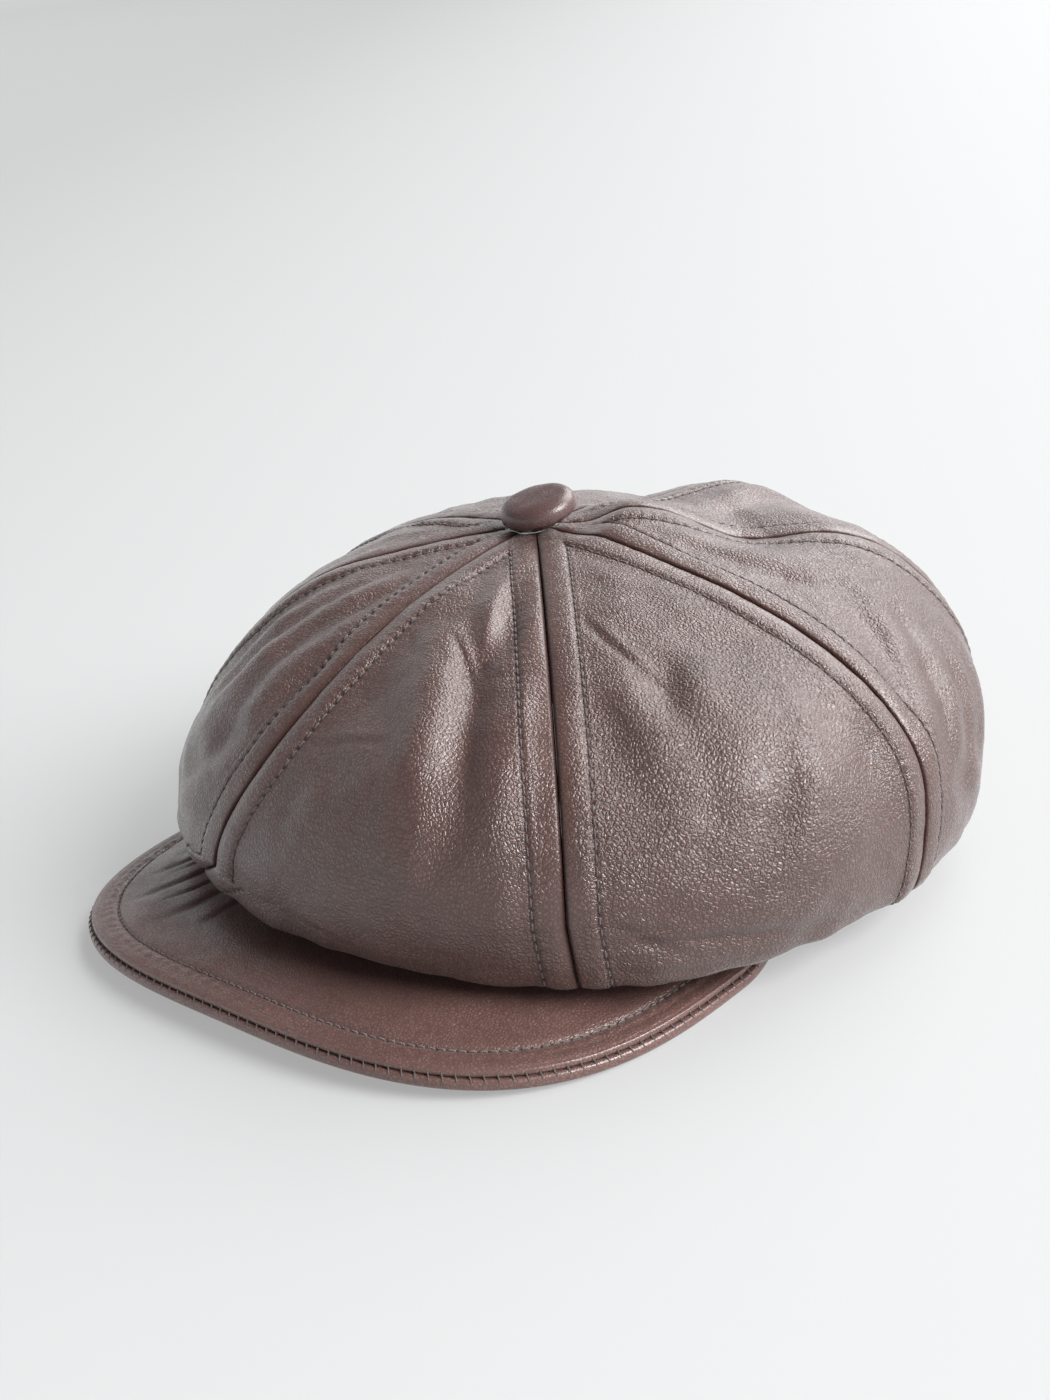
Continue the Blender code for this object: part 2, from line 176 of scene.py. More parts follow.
def band_point(azimuth, offset, height):
    """A point on the oval headband, offset outward; its lower edge rises towards the front."""
    x = (BAND_HALF_WIDTH + offset) * np.sin(azimuth)
    y = BAND_CENTRE_Y - (BAND_HALF_LENGTH + offset) * np.cos(azimuth)
    back = BAND_CENTRE_Y + BAND_HALF_LENGTH
    return vectors(x, y, BAND_RISE * (back - y) / (2 * BAND_HALF_LENGTH) + height)


def crown_surface(azimuth, s):
    """A point on the crown; s is 0 at the apex, 1 at the belly, 2 at the hem and 3 at the band."""
    azimuth, s = np.broadcast_arrays(np.asarray(azimuth, float), np.asarray(s, float))
    reach = around(BELLY_REACH, azimuth)
    belly = around(BELLY_HEIGHT, azimuth)
    hem = around(HEM_HEIGHT, azimuth)
    away = outward(azimuth)
    power = 2 / DOME_FULLNESS
    turn = np.clip(s, 0, 1) * math.pi / 2
    cosine = np.maximum(np.cos(turn), 0.0)
    dome = away * (reach * np.sin(turn) ** power)[..., None]
    dome[..., :2] += APEX[:2] * cosine[..., None]
    dome[..., 2] = belly + (APEX[2] - belly) * cosine ** power
    turn = np.clip(s - 1, 0, 1) * math.pi / 2
    side = away * (reach - HEM_TUCK * (1 - np.cos(turn)))[..., None]
    side[..., 2] = belly - (belly - hem) * np.sin(turn)
    fold = away * (reach - HEM_TUCK)[..., None]
    fold[..., 2] = hem
    attach = band_point(azimuth, HEM_CLEARANCE + LEATHER / 2, HEM_ATTACH_HEIGHT)
    bend = fold + (attach - fold) * (0.55, 0.55, 0.0)
    share = np.clip(s - 2, 0, 1)[..., None]
    under = blend(blend(fold, bend, share), blend(bend, attach, share), share)
    s = s[..., None]
    return np.where(s <= 1, dome, np.where(s <= 2, side, under))


def crown_normal(azimuth, s):
    """The crown's outward direction, and how far a step of azimuth moves a point."""
    step = 0.004
    low, high = np.maximum(s - step, 0.002), np.minimum(s + step, 3.0)
    along = (crown_surface(azimuth, high) - crown_surface(azimuth, low)) / (high - low)[..., None]
    sideways = (crown_surface(azimuth + step, s) - crown_surface(azimuth - step, s)) / (2 * step)
    return unit(np.cross(along, sideways)), norm(sideways)


def swell(s):
    """A share that grows from 0 at the apex to 1 at the belly and is 0 again at the hem."""
    return np.sin(math.pi * np.minimum(s, 2) / 2)


def seam_azimuth(seam, s):
    """A seam's azimuth in radians at a place along it."""
    turns, index = divmod(seam, len(SEAM_AZIMUTHS))
    azimuth = 0.0
    for nudge in (-0.15, -0.09, -0.03, 0.03, 0.09, 0.15):
        azimuth = azimuth + np.interp(s + nudge, SEAM_STATIONS, SEAM_AZIMUTHS[index]) / 6
    return np.radians(azimuth + 360 * turns)


def seam_table(seam):
    """Places along a seam and the length from the apex to each."""
    s = np.linspace(0.0, 3.0, 1500)
    points = crown_surface(seam_azimuth(seam, s), s)
    return s, np.concatenate([[0.0], np.cumsum(norm(np.diff(points, axis=0)))])


def seam_slant(seam, s):
    """How much further apart points lie along a row than square across a slanting seam."""
    step = 0.12
    low, high = np.maximum(s - step, 0.002), np.minimum(s + step, 3.0)
    azimuth = seam_azimuth(seam, s)
    down = norm(crown_surface(azimuth, high) - crown_surface(azimuth, low))
    radius = crown_normal(azimuth, s)[1]
    swing = radius * (seam_azimuth(seam, high) - seam_azimuth(seam, low))
    return np.minimum(np.hypot(down, swing) / down, 2.2)


SEAM_TABLES = [seam_table(seam) for seam in GORES]


def seam_length(seam, s):
    """Length from the apex along a seam."""
    places, lengths = SEAM_TABLES[seam % len(SEAM_AZIMUTHS)]
    return np.interp(s, places, lengths)


# --- Relief ---


def waves(points, size, seed, count=16):
    """Smooth irregular relief from about -1 to 1 whose bumps are size across."""
    random = np.random.default_rng(seed)
    directions = unit(random.normal(size=(count, 3)))
    rates = 2 * math.pi / size * random.uniform(0.6, 1.5, count)
    phases = random.uniform(0, 2 * math.pi, count)
    total = np.zeros(points.shape[:-1])
    for direction, rate, phase in zip(directions, rates, phases):
        total += np.sin(points @ direction * rate + phase)
    return total * 1.2 / math.sqrt(count)


def crease(points, start, end, width, height, bow=0.0):
    """A fold between two (azimuth, s) places; height is negative for a valley, bow curves it."""
    ends = crown_surface(np.radians([start[0], end[0]]), np.array([start[1], end[1]]))
    middle = np.radians((start[0] + end[0]) / 2)
    normal = crown_normal(np.array([middle]), np.array([(start[1] + end[1]) / 2]))[0][0]
    run = ends[1] - ends[0]
    length = np.linalg.norm(run)
    run /= length
    aside = np.cross(normal, run)
    along = (points - ends[0]) @ run / length
    off = (points - ends[0]) @ aside - bow * 4 * along * (1 - along)
    near = np.abs((points - ends[0]) @ normal) < length * 0.5 + 25
    taper = np.sin(math.pi * np.clip(along, 0, 1)) ** 0.7
    profile = np.where(off > 0, bell(off, width), bell(off, width * 1.8))
    shoulder = 0.35 * bell(off - 2.4 * width, width * 1.3)
    return height * taper * near * (profile - shoulder)


APEX_CALM = 13.0  # no folds or dents nearer to the apex than this

# Broad dents and swells of the slumped crown: (azimuth, s, half width, height).
LUMPS = (
    (131, 0.14, 20.0, 4.5), (131, 0.31, 17.0, -4.5), (133, 0.53, 24.0, 5.0), (-56, 0.85, 34.0, -4.0),
    (-70, 0.45, 30.0, -1.5), (170, 0.44, 22.0, 4.5), (70, 0.66, 20.0, 2.0), (-48, 0.38, 20.0, 2.5),
    (188, 0.20, 18.0, -3.5), (192, 0.36, 17.0, -4.0),
)


def slump(points):
    """Height of the broad dents and swells."""
    total = np.zeros(points.shape[:-1])
    for azimuth, s, width, height in LUMPS:
        centre = crown_surface(math.radians(azimuth), s)
        total += height * bell(norm(points - centre), width)
    return total * smooth_step(APEX_CALM, 28.0, norm(points - APEX))


# For each gore: its fullness, how strong its grain is, and folds as (start, end, half width,
# height, bow if any); a place is (azimuth, s) on the crown.
GORE_FOLDS = {
    0: (1.8, 0.85, [
        ((3, 0.20), (25, 0.98), 6.5, 3.7, 8.0), ((22, 0.28), (30, 0.82), 4.6, -3.0, 3.0),
        ((25.5, 0.16), (28, 0.42), 3.0, 2.6, 1.0), ((37, 0.45), (35, 1.45), 7.0, 2.8),
        ((2, 0.64), (19, 0.61), 0.9, -0.6, 0.8), ((1, 0.80), (14, 0.74), 1.0, -0.5, -1.0),
        ((20, 0.35), (29, 0.48), 0.9, -0.7, 0.6), ((24, 0.44), (31, 0.41), 0.8, -0.5),
        ((5, 1.12), (15, 1.40), 0.8, -0.4, 0.5), ((8, 0.36), (15, 0.42), 1.2, -0.5, 0.4),
        ((-12, 1.15), (12, 1.30), 5.0, -1.0, 2.0),
    ]),
    1: (2.2, 1.25, [
        ((65, 0.44), (60, 0.62), 4.5, -2.2, -1.5), ((52, 0.31), (62, 0.53), 1.0, -0.7, -2.0),
        ((50.5, 0.50), (53, 0.78), 4.5, -1.8), ((73, 0.70), (66, 0.97), 4.0, -1.7, 2.0),
        ((46, 1.20), (70, 1.42), 1.2, -0.9, 1.5), ((48, 1.00), (59, 1.48), 1.1, -0.7, -1.5),
        ((46, 1.50), (62, 1.62), 0.9, -0.5), ((47, 1.08), (58, 1.18), 0.9, -0.6),
        ((58, 1.30), (80, 1.62), 4.0, -1.0), ((80, 0.60), (86, 1.00), 5.0, -1.3, 1.5),
    ]),
    2: (2.0, 0.8, [
        ((113, 0.46), (91, 0.88), 4.5, -2.0, 2.0), ((116, 0.54), (97, 1.05), 3.6, -1.8, 2.0),
        ((117, 0.62), (104, 1.25), 3.6, -1.8, 1.5), ((121, 0.70), (109, 1.20), 3.2, -1.5, 1.0),
        ((103, 0.22), (105, 0.47), 3.6, -1.4), ((110, 0.24), (118, 0.36), 2.0, -0.8),
        ((98, 0.36), (108, 0.44), 2.2, -0.8), ((122, 1.05), (116, 1.55), 3.4, -1.3),
    ]),
    3: (1.8, 0.7, [
        ((143, 0.28), (160, 0.52), 4.0, -1.8, 1.0), ((139, 0.55), (146, 0.95), 4.5, -1.6),
        ((150, 0.70), (158, 1.25), 4.0, -1.4), ((166, 0.75), (164, 1.35), 4.0, -1.3),
    ]),
    4: (1.8, 0.8, [
        ((190, 0.35), (201, 0.92), 5.0, -1.8, 2.0), ((206, 0.50), (196, 1.05), 4.0, -1.4),
        ((184, 0.80), (188, 1.35), 4.0, -1.3), ((181, 0.45), (198, 0.55), 1.3, -0.6),
    ]),
    5: (1.8, 0.8, [
        ((236, 0.30), (228, 0.88), 5.0, -1.8, -1.5), ((248, 0.55), (253, 1.15), 4.5, -1.5),
        ((240, 0.95), (236, 1.45), 3.6, -1.2), ((226, 0.62), (240, 0.70), 1.2, -0.6),
    ]),
    6: (1.6, 0.7, [
        ((255, 0.40), (271, 0.14), 3.6, 2.2), ((262, 0.24), (276, 0.40), 3.0, -1.6, 1.0),
        ((299, 0.33), (304, 0.74), 3.6, -1.9, 1.0), ((284, 0.30), (278, 0.85), 4.5, -1.8),
        ((292, 0.60), (290, 1.20), 4.0, -1.4), ((270, 0.80), (274, 1.35), 4.0, -1.3),
    ]),
    7: (1.6, 0.75, [
        ((333, 0.20), (325, 0.72), 3.2, -2.0, 1.5), ((338, 0.34), (340, 0.80), 3.8, -1.9, -1.0),
        ((354, 0.42), (350, 0.60), 2.6, -1.2), ((320, 0.30), (316, 0.84), 3.6, -1.7),
        ((346, 0.66), (328, 0.90), 4.5, -1.5), ((327, 0.85), (322, 1.40), 4.0, -1.2),
        ((345, 0.24), (342, 0.48), 2.6, -1.0),
    ]),
}


def seam_relief(distance, length, seed):
    """Height at a distance from a seam, the painted shade in its groove and stitch channel, and how raised
    the place is, for its paler wear and painted highlight.
    """
    stitch = BAND_WIDTH
    raised = BAND_LIFT * (1 - smooth_step(stitch + 0.1, stitch + 2.2, distance))
    rounded = BAND_ROUND * np.sin(math.pi * np.clip(distance / stitch, 0, 1)) ** 0.8
    holes = 0.5 + 0.5 * np.cos(2 * math.pi * length / STITCH_PITCH)
    uneven = 0.75 + 0.35 * np.sin(length / 6.1 + seed) * np.sin(length / 2.3 + 2 * seed)
    channel = -(0.45 + 0.35 * holes * uneven) * bell(distance - stitch, 0.85)
    beyond = np.exp(-np.maximum(distance - stitch, 0) / 2.6) * (distance > stitch)
    pucker = 0.3 * (0.5 - holes) * uneven * beyond * smooth_step(0, 1.2, distance - stitch)
    inside = 0.3 * (0.5 - holes) * uneven * bell(distance - stitch + 1.8, 1.6)
    # Painted shade: the seam's groove and stitch channel are darkened and lose their reflection.
    painted_shade = 0.9 * bell(distance - stitch, 0.8) * (0.5 + 0.5 * holes)
    painted_shade += bell(distance, 1.3)
    # Raised shoulders beside the groove and the stitches are painted paler and glossier: partly rubbed wear,
    # partly a painted highlight.
    wear_and_highlight = smooth_step(1.0, 2.2, distance) * bell(distance - 2.4, 1.6)
    wear_and_highlight += 0.5 * bell(distance - stitch + 1.5, 1.2)
    return raised + rounded + channel + pucker + inside, painted_shade, wear_and_highlight


def crown_skin(gore, azimuth, s, drop=0.0):
    """Points of a gore's outer face, its normals, and for each its painted shade at the seams, its paler wear
    and painted highlight where raised, and its grain.
    """
    base = crown_surface(azimuth, s)
    normal, radius = crown_normal(azimuth, s)
    start, end = seam_azimuth(gore, s), seam_azimuth(gore + 1, s)
    from_start = (azimuth - start) * radius / seam_slant(gore, s)
    from_end = (end - azimuth) * radius / seam_slant(gore + 1, s)
    inside = np.minimum(from_start, from_end)
    across = np.clip((azimuth - start) / (end - start), 0, 1)
    puff, strength, folds = GORE_FOLDS[gore]
    height = LEATHER / 2 + puff * 4 * across * (1 - across) * swell(s)
    first, first_painted_shade, first_wear_and_highlight = seam_relief(from_start, seam_length(gore, s), gore + 1)
    last, last_painted_shade, last_wear_and_highlight = seam_relief(from_end, seam_length(gore + 1, s), gore + 9)
    height = height + np.where(np.abs(first) > np.abs(last), first, last)
    middle = smooth_step(3.0, 22.0, inside)
    height += slump(base)
    height += middle * 0.7 * waves(base, 62.0, gore + 20)
    height += (0.25 + 0.75 * middle) * 0.22 * waves(base, 17.0, gore + 40)
    height += 0.05 * waves(base, 6.5, gore + 60)
    clear = smooth_step(0.5, 9.0, inside) * smooth_step(APEX_CALM, 20.0, norm(base - APEX))
    for fold in folds:
        height += clear * crease(base, *fold)
    painted_shade = np.clip(first_painted_shade + last_painted_shade, 0, 1)
    wear_and_highlight = np.clip(first_wear_and_highlight + last_wear_and_highlight, 0, 1)
    grain = strength * smooth_step(0.5, 7.0, inside)
    points = base + normal * (height + drop)[..., None]
    return points, normal, {"painted_shade": painted_shade, "wear_and_highlight": wear_and_highlight, "grain": grain}


# --- Mesh building ---


def grid_faces(rows, columns, closed_rows=False, closed_columns=False):
    """Quads of a grid whose rows run down and columns run to the left seen from outside."""
    index = np.arange(rows * columns).reshape(rows, columns)
    below, beside = np.roll(index, -1, axis=0), np.roll(index, -1, axis=1)
    corner = np.roll(below, -1, axis=1)
    quads = np.stack([index, below, corner, beside], axis=-1)
    if not closed_rows:
        quads = quads[:-1]
    if not closed_columns:
        quads = quads[:, :-1]
    return quads.reshape(-1, 4)


def show(name, data):
    """Put an object with the given data into the scene."""
    made = bpy.data.objects.new(name, data)
    bpy.context.scene.collection.objects.link(made)
    return made


def make_surface(name, points, faces, material, centre):
    """Make a smooth mesh object from points in millimetres about a centre in metres."""
    mesh = bpy.data.meshes.new(name)
    mesh.from_pydata((centre + points * MM).tolist(), [], [list(face) for face in faces])
    mesh.shade_smooth()
    mesh.materials.append(material)
    return show(name, mesh)


def make_piece(name, points, faces, material, slot, attributes=None):
    """Make a piece of the cap, with a value of each attribute at every point."""
    piece = make_surface(name, np.asarray(points, float).reshape(-1, 3), faces, material, ORIGIN)
    for key, values in (attributes or {}).items():
        layer = piece.data.attributes.new(key, "FLOAT", "POINT")
        layer.data.foreach_set("value", np.asarray(values, np.float32).ravel())
    return piece


def thicken(piece, thickness):
    """Give a surface its leather's or cloth's thickness, inward."""
    solidify = piece.modifiers.new("Thickness", "SOLIDIFY")
    solidify.thickness = thickness * MM
    solidify.offset = -1.0
    solidify.use_quality_normals = True


def tubes(paths, normals, radius, sides=6):
    """Closed tubes with tapered ends along many short paths of equal point count."""
    count, steps, _ = paths.shape
    tangent = unit(np.gradient(paths, axis=1))
    side = unit(np.cross(tangent, normals[:, None, :]))
    up = np.cross(side, tangent)
    turn = np.linspace(0, 2 * math.pi, sides, endpoint=False)
    girth = radius * np.clip(np.sin(np.linspace(0.25, math.pi - 0.25, steps)) * 1.6, 0, 1)
    ring = np.cos(turn)[:, None] * side[:, :, None, :] + np.sin(turn)[:, None] * up[:, :, None, :]
    points = paths[:, :, None, :] + ring * girth[None, :, None, None]
    size = steps * sides
    one = grid_faces(steps, sides, closed_columns=True).tolist()
    one += [list(range(sides)), list(range(size - sides, size))[::-1]]
    faces = [[start + corner for corner in face] for start in range(0, count * size, size) for face in one]
    return points.reshape(-1, 3), faces


def stitch_paths(middles, directions, normals, length=STITCH_LENGTH, rise=0.16, dive=0.34):
    """Short arched runs of thread whose ends dive into the leather."""
    share = np.linspace(-1, 1, 7)
    along = directions[:, None, :] * (share * length / 2)[None, :, None]
    lift = rise - (rise + dive) * share ** 4
    return middles[:, None, :] + along + normals[:, None, :] * lift[None, :, None]


# --- Materials ---


def feed(tree, node, inputs):
    """Give a node its inputs, each a number, a colour or another node's socket."""
    for key, value in inputs.items():
        if isinstance(value, bpy.types.NodeSocket):
            tree.links.new(value, node.inputs[key])
        else:
            node.inputs[key].default_value = value


def add(tree, kind, inputs=None, **settings):
    """Add a shader node with its settings and inputs."""
    made = tree.nodes.new("ShaderNode" + kind)
    for key, value in settings.items():
        setattr(made, key, value)
    feed(tree, made, inputs or {})
    return made


def calculate(tree, operation, first, second=0.0, third=0.0):
    """Add a Math node and give its result."""
    return add(tree, "Math", {0: first, 1: second, 2: third}, operation=operation).outputs[0]


def times(tree, first, second):
    """Multiply two values."""
    return calculate(tree, "MULTIPLY", first, second)


def ramp(tree, value, low, high, start=0.0, end=1.0):
    """Map a value smoothly from low..high to start..end."""
    inputs = {"Value": value, "From Min": low, "From Max": high, "To Min": start, "To Max": end}
    return add(tree, "MapRange", inputs, interpolation_type="SMOOTHSTEP").outputs["Result"]


def mix_colours(tree, share, first, last):
    """Mix two colours, each a socket or three numbers, by a share."""
    ends = [end if isinstance(end, bpy.types.NodeSocket) else (*end, 1.0) for end in (first, last)]
    return add(tree, "Mix", {0: share, 6: ends[0], 7: ends[1]}, data_type="RGBA").outputs[2]


def start_material(name):
    """A new material, its node tree, its shader and the place on the object."""
    material = bpy.data.materials.new(name)
    material.use_nodes = True
    tree = material.node_tree
    place = add(tree, "TexCoord").outputs["Object"]
    return material, tree, tree.nodes["Principled BSDF"], place


def noise(tree, place, size, detail=3.0, roughness=0.55):
    """Noise whose features are size millimetres across."""
    inputs = {"Vector": place, "Scale": 1 / (size * MM), "Detail": detail, "Roughness": roughness}
    return add(tree, "TexNoise", inputs).outputs["Fac"]


def relief_normal(tree, height, distance, strength=1.0):
    """The normal of a relief whose full height is distance millimetres."""
    inputs = {"Height": height, "Strength": strength, "Distance": distance * MM}
    return add(tree, "Bump", inputs).outputs["Normal"]


def leather(name, dark, pale, gloss, cell, depth, marked=False, coat=0.0, sheen=0.0):
    """Pebbled leather: gloss is (lowest, highest) roughness, cell and depth the grain's size."""
    material, tree, shader, place = start_material(name)
    broad = noise(tree, place, 38.0, 4.0)
    mottle = noise(tree, place, 5.0, 5.0, 0.6)
    tone = calculate(tree, "MULTIPLY_ADD", broad, 0.65, times(tree, mottle, 0.35))
    colour = mix_colours(tree, ramp(tree, tone, 0.3, 0.7), dark, pale)
    warp = add(tree, "TexNoise", {"Vector": place, "Scale": 1 / (2.2 * MM), "Detail": 2.0})
    shift = add(tree, "VectorMath", {0: warp.outputs["Color"], 1: (0.5, 0.5, 0.5)}, operation="SUBTRACT")
    scaled = add(tree, "VectorMath", {0: shift.outputs[0], "Scale": cell * 0.55 * MM}, operation="SCALE")
    bent = add(tree, "VectorMath", {0: place, 1: scaled.outputs[0]}, operation="ADD").outputs[0]
    cells = []
    for size, randomness in ((cell, 0.95), (cell * 0.46, 1.0)):
        inputs = {"Vector": bent, "Scale": 1 / (size * MM), "Randomness": randomness}
        cells.append(add(tree, "TexVoronoi", inputs, feature="DISTANCE_TO_EDGE").outputs["Distance"])
    pebble, fine = ramp(tree, cells[0], 0.0, 0.3), ramp(tree, cells[1], 0.0, 0.35)
    strength = ramp(tree, noise(tree, place, 24.0, 2.0), 0.3, 0.7, 0.6, 1.0)
    if marked:
        grain, painted_shade, wear_and_highlight = [
            add(tree, "Attribute", attribute_name=key).outputs["Fac"] for key in ("grain", "painted_shade", "wear_and_highlight")
        ]
        strength = times(tree, strength, calculate(tree, "MULTIPLY_ADD", grain, 0.6, 0.4))
        # Raised places are painted paler: partly rubbed wear, partly a painted highlight.
        colour = mix_colours(tree, times(tree, wear_and_highlight, 0.3), colour, [c * 1.35 for c in pale])
        # Painted shade: seam grooves, stitch channels, creases, pleats and the peak under the crown's hem are
        # darkened.
        colour = mix_colours(tree, times(tree, painted_shade, 0.7), colour, [c * 0.35 for c in dark])
    # Painted shade in the grain: the crevices between pebbles are darkened and made rougher.
    crevice_shade = times(tree, calculate(tree, "SUBTRACT", 1.0, pebble), 0.75)
    colour = mix_colours(tree, crevice_shade, colour, [c * 0.55 for c in dark])
    rough = ramp(tree, noise(tree, place, 9.0, 4.0, 0.65), 0.3, 0.7, *gloss)
    rough = calculate(tree, "ADD", rough, times(tree, crevice_shade, 0.3))
    if marked:
        rough = calculate(tree, "SUBTRACT", rough, times(tree, wear_and_highlight, 0.07))
        # Painted shade also takes the reflection out: specular and coat fade where the painted shade is deep.
        shine = ramp(tree, painted_shade, 0.35, 1.0, 1.0, 0.05)
        feed(tree, shader, {"Specular IOR Level": times(tree, shine, 0.5)})
        coat = times(tree, shine, coat)
    feed(tree, shader, {
        "Base Color": colour, "Roughness": rough, "Coat Weight": coat, "Coat Roughness": 0.2,
        "Sheen Weight": sheen, "Sheen Roughness": 0.4,
    })
    relief = calculate(tree, "MULTIPLY_ADD", fine, 0.28, times(tree, pebble, 0.72))
    relief = times(tree, relief, strength)
    relief = calculate(tree, "MULTIPLY_ADD", noise(tree, place, 0.5, 3.0), 0.16, relief)
    feed(tree, shader, {
        "Normal": relief_normal(tree, relief, depth), "Coat Normal": relief_normal(tree, relief, depth * 0.7),
    })
    return material


def thread_look(name, dark, pale):
    """Twisted sewing thread."""
    material, tree, shader, place = start_material(name)
    colour = mix_colours(tree, noise(tree, place, 1.2, 4.0), dark, pale)
    rough = ramp(tree, noise(tree, place, 0.6), 0.3, 0.7, 0.5, 0.75)
    inputs = {"Vector": place, "Scale": 1 / (0.9 * MM), "Distortion": 3.0}
    twist = add(tree, "TexWave", inputs, bands_direction="DIAGONAL").outputs["Fac"]
    normal = relief_normal(tree, twist, 0.06, 0.7)
    feed(tree, shader, {"Base Color": colour, "Roughness": rough, "Normal": normal, "Sheen Weight": 0.3})
    return material


def woven(name, dark, pale, pitch, rough):
    """Woven cloth: two crossed sets of threads, pitch millimetres apart."""
    material, tree, shader, place = start_material(name)
    heights = []
    for direction in ("X", "Y", "Z"):
        inputs = {"Vector": place, "Scale": 0.314 / (pitch * MM), "Distortion": 0.6, "Detail": 1.0}
        heights.append(add(tree, "TexWave", inputs, bands_direction=direction).outputs["Fac"])
    weave = calculate(tree, "MAXIMUM", calculate(tree, "MAXIMUM", heights[0], heights[1]), heights[2])
    tone = calculate(tree, "MULTIPLY_ADD", weave, 0.5, times(tree, noise(tree, place, 14.0), 0.5))
    colour = mix_colours(tree, tone, dark, pale)
    rough = ramp(tree, tone, 0.2, 0.8, rough + 0.1, rough)
    normal = relief_normal(tree, weave, 0.08, 0.8)
    feed(tree, shader, {"Base Color": colour, "Roughness": rough, "Normal": normal, "Sheen Weight": 0.25})
    return material


def hard(name, dark, pale, rough, metallic=0.0, scratch=0.03):
    """Plastic or metal with a mottled tone and fine scratches."""
    material, tree, shader, place = start_material(name)
    colour = mix_colours(tree, noise(tree, place, 6.0, 4.0), dark, pale)
    rough = ramp(tree, noise(tree, place, 2.5), 0.3, 0.7, rough - 0.06, rough + 0.08)
    stretched = add(tree, "Mapping", {"Vector": place, "Scale": (1.0, 9.0, 1.0)}).outputs["Vector"]
    normal = relief_normal(tree, noise(tree, stretched, 1.5), scratch)
    feed(tree, shader, {"Base Color": colour, "Roughness": rough, "Normal": normal, "Metallic": metallic})
    return material


CROWN_LEATHER = leather(
    "crown_leather", (0.076, 0.032, 0.025), (0.112, 0.055, 0.045), (0.24, 0.34), 1.2, 0.30,
    marked=True, coat=0.8, sheen=0.10)
PEAK_LEATHER = leather(
    "peak_leather", (0.130, 0.063, 0.053), (0.175, 0.092, 0.078), (0.25, 0.36), 1.0, 0.15,
    marked=True, coat=0.6, sheen=0.10)
BUTTON_LEATHER = leather(
    "button_leather", (0.085, 0.040, 0.038), (0.115, 0.060, 0.056), (0.20, 0.30), 0.9, 0.06,
    marked=True, coat=0.5)
BAND_LEATHER = leather(
    "band_leather", (0.070, 0.052, 0.048), (0.105, 0.080, 0.075), (0.38, 0.52), 1.1, 0.12)
SWEAT_LEATHER = leather(
    "sweatband_leather", (0.045, 0.032, 0.028), (0.070, 0.052, 0.046), (0.42, 0.58), 0.8, 0.06)
SUEDE = leather(
    "anchor_suede", (0.05, 0.04, 0.035), (0.08, 0.065, 0.055), (0.8, 0.95), 0.5, 0.05, sheen=0.6)
CROWN_THREAD = thread_look("crown_thread", (0.040, 0.029, 0.027), (0.11, 0.082, 0.075))
PEAK_THREAD = thread_look("peak_thread", (0.060, 0.043, 0.039), (0.20, 0.155, 0.14))
PALE_THREAD = thread_look("pale_thread", (0.45, 0.44, 0.43), (0.75, 0.74, 0.73))
LINING = woven("lining_cloth", (0.016, 0.014, 0.016), (0.040, 0.036, 0.038), 0.35, 0.42)
BUCKRAM = woven("buckram", (0.38, 0.34, 0.27), (0.60, 0.56, 0.48), 0.9, 0.75)
BOARD = hard("peak_board", (0.60, 0.58, 0.53), (0.74, 0.72, 0.68), 0.45)
STEEL = hard("button_metal", (0.50, 0.50, 0.52), (0.66, 0.66, 0.68), 0.32, metallic=1.0)
BRASS = hard("shank_wire", (0.52, 0.40, 0.20), (0.68, 0.56, 0.32), 0.3, metallic=1.0)

for node, look in (("band_stiffener", BUCKRAM), ("button_shell", STEEL), ("button_back", STEEL),
                   ("button_shank", BRASS), ("button_thread", PALE_THREAD), ("button_anchor", SUEDE)):
    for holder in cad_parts[node].material_slots:
        holder.material = look


# --- Crown ---

APEX_HOLE = 4.9
ROW_STEP = 0.8
SHOWN_PLACE = 2.2
SEAM_STRIP = 11.6
LINING_THICKNESS = 0.4


def crown_rows():
    """Places from the apex to the band, fine where the crown shows."""
    places, lengths = SEAM_TABLES[1]
    shown = np.interp(SHOWN_PLACE, places, lengths)
    fine = np.interp(np.arange(APEX_HOLE, shown, ROW_STEP), lengths, places)
    return np.concatenate([fine, np.linspace(SHOWN_PLACE, 3.0, 14)[1:]])


def gore_columns(gore, s):
    """Azimuths and drops across a gore, row by row: rolled edges, seam bands and the middle."""
    roll = np.radians(np.linspace(0, 90, 6))
    edge = np.concatenate([[0.02, GROOVE_HALF], GROOVE_HALF + EDGE_RADIUS * (1 - np.cos(roll[1:]))])
    drop = np.concatenate([[-EDGE_RADIUS - EDGE_WALL, -EDGE_RADIUS], -EDGE_RADIUS * (1 - np.sin(roll[1:]))])
    band = np.concatenate([edge, np.linspace(edge[-1], SEAM_STRIP, 20)[1:]])
    drop = np.concatenate([drop, np.zeros(len(band) - len(drop))])
    start, end = seam_azimuth(gore, s)[:, None], seam_azimuth(gore + 1, s)[:, None]
    reach = crown_normal((start[:, 0] + end[:, 0]) / 2, s)[1][:, None]
    room = 0.45 * (end - start)
    strips = []
    for seam in (gore, gore + 1):
        strip = band[None, :] * seam_slant(seam, s)[:, None] / reach
        strips.append(strip * np.minimum(1.0, room / strip[:, -1:]))
    left, right = start + strips[0], end - strips[1]
    shares = np.linspace(0, 1, 48)[1:-1]
    middle = left[:, -1:] + (right[:, -1:] - left[:, -1:]) * shares
    azimuth = np.concatenate([left, middle, right[:, ::-1]], axis=1)
    drops = np.concatenate([drop, np.zeros(len(shares)), drop[::-1]])
    return azimuth, np.broadcast_to(drops, azimuth.shape)


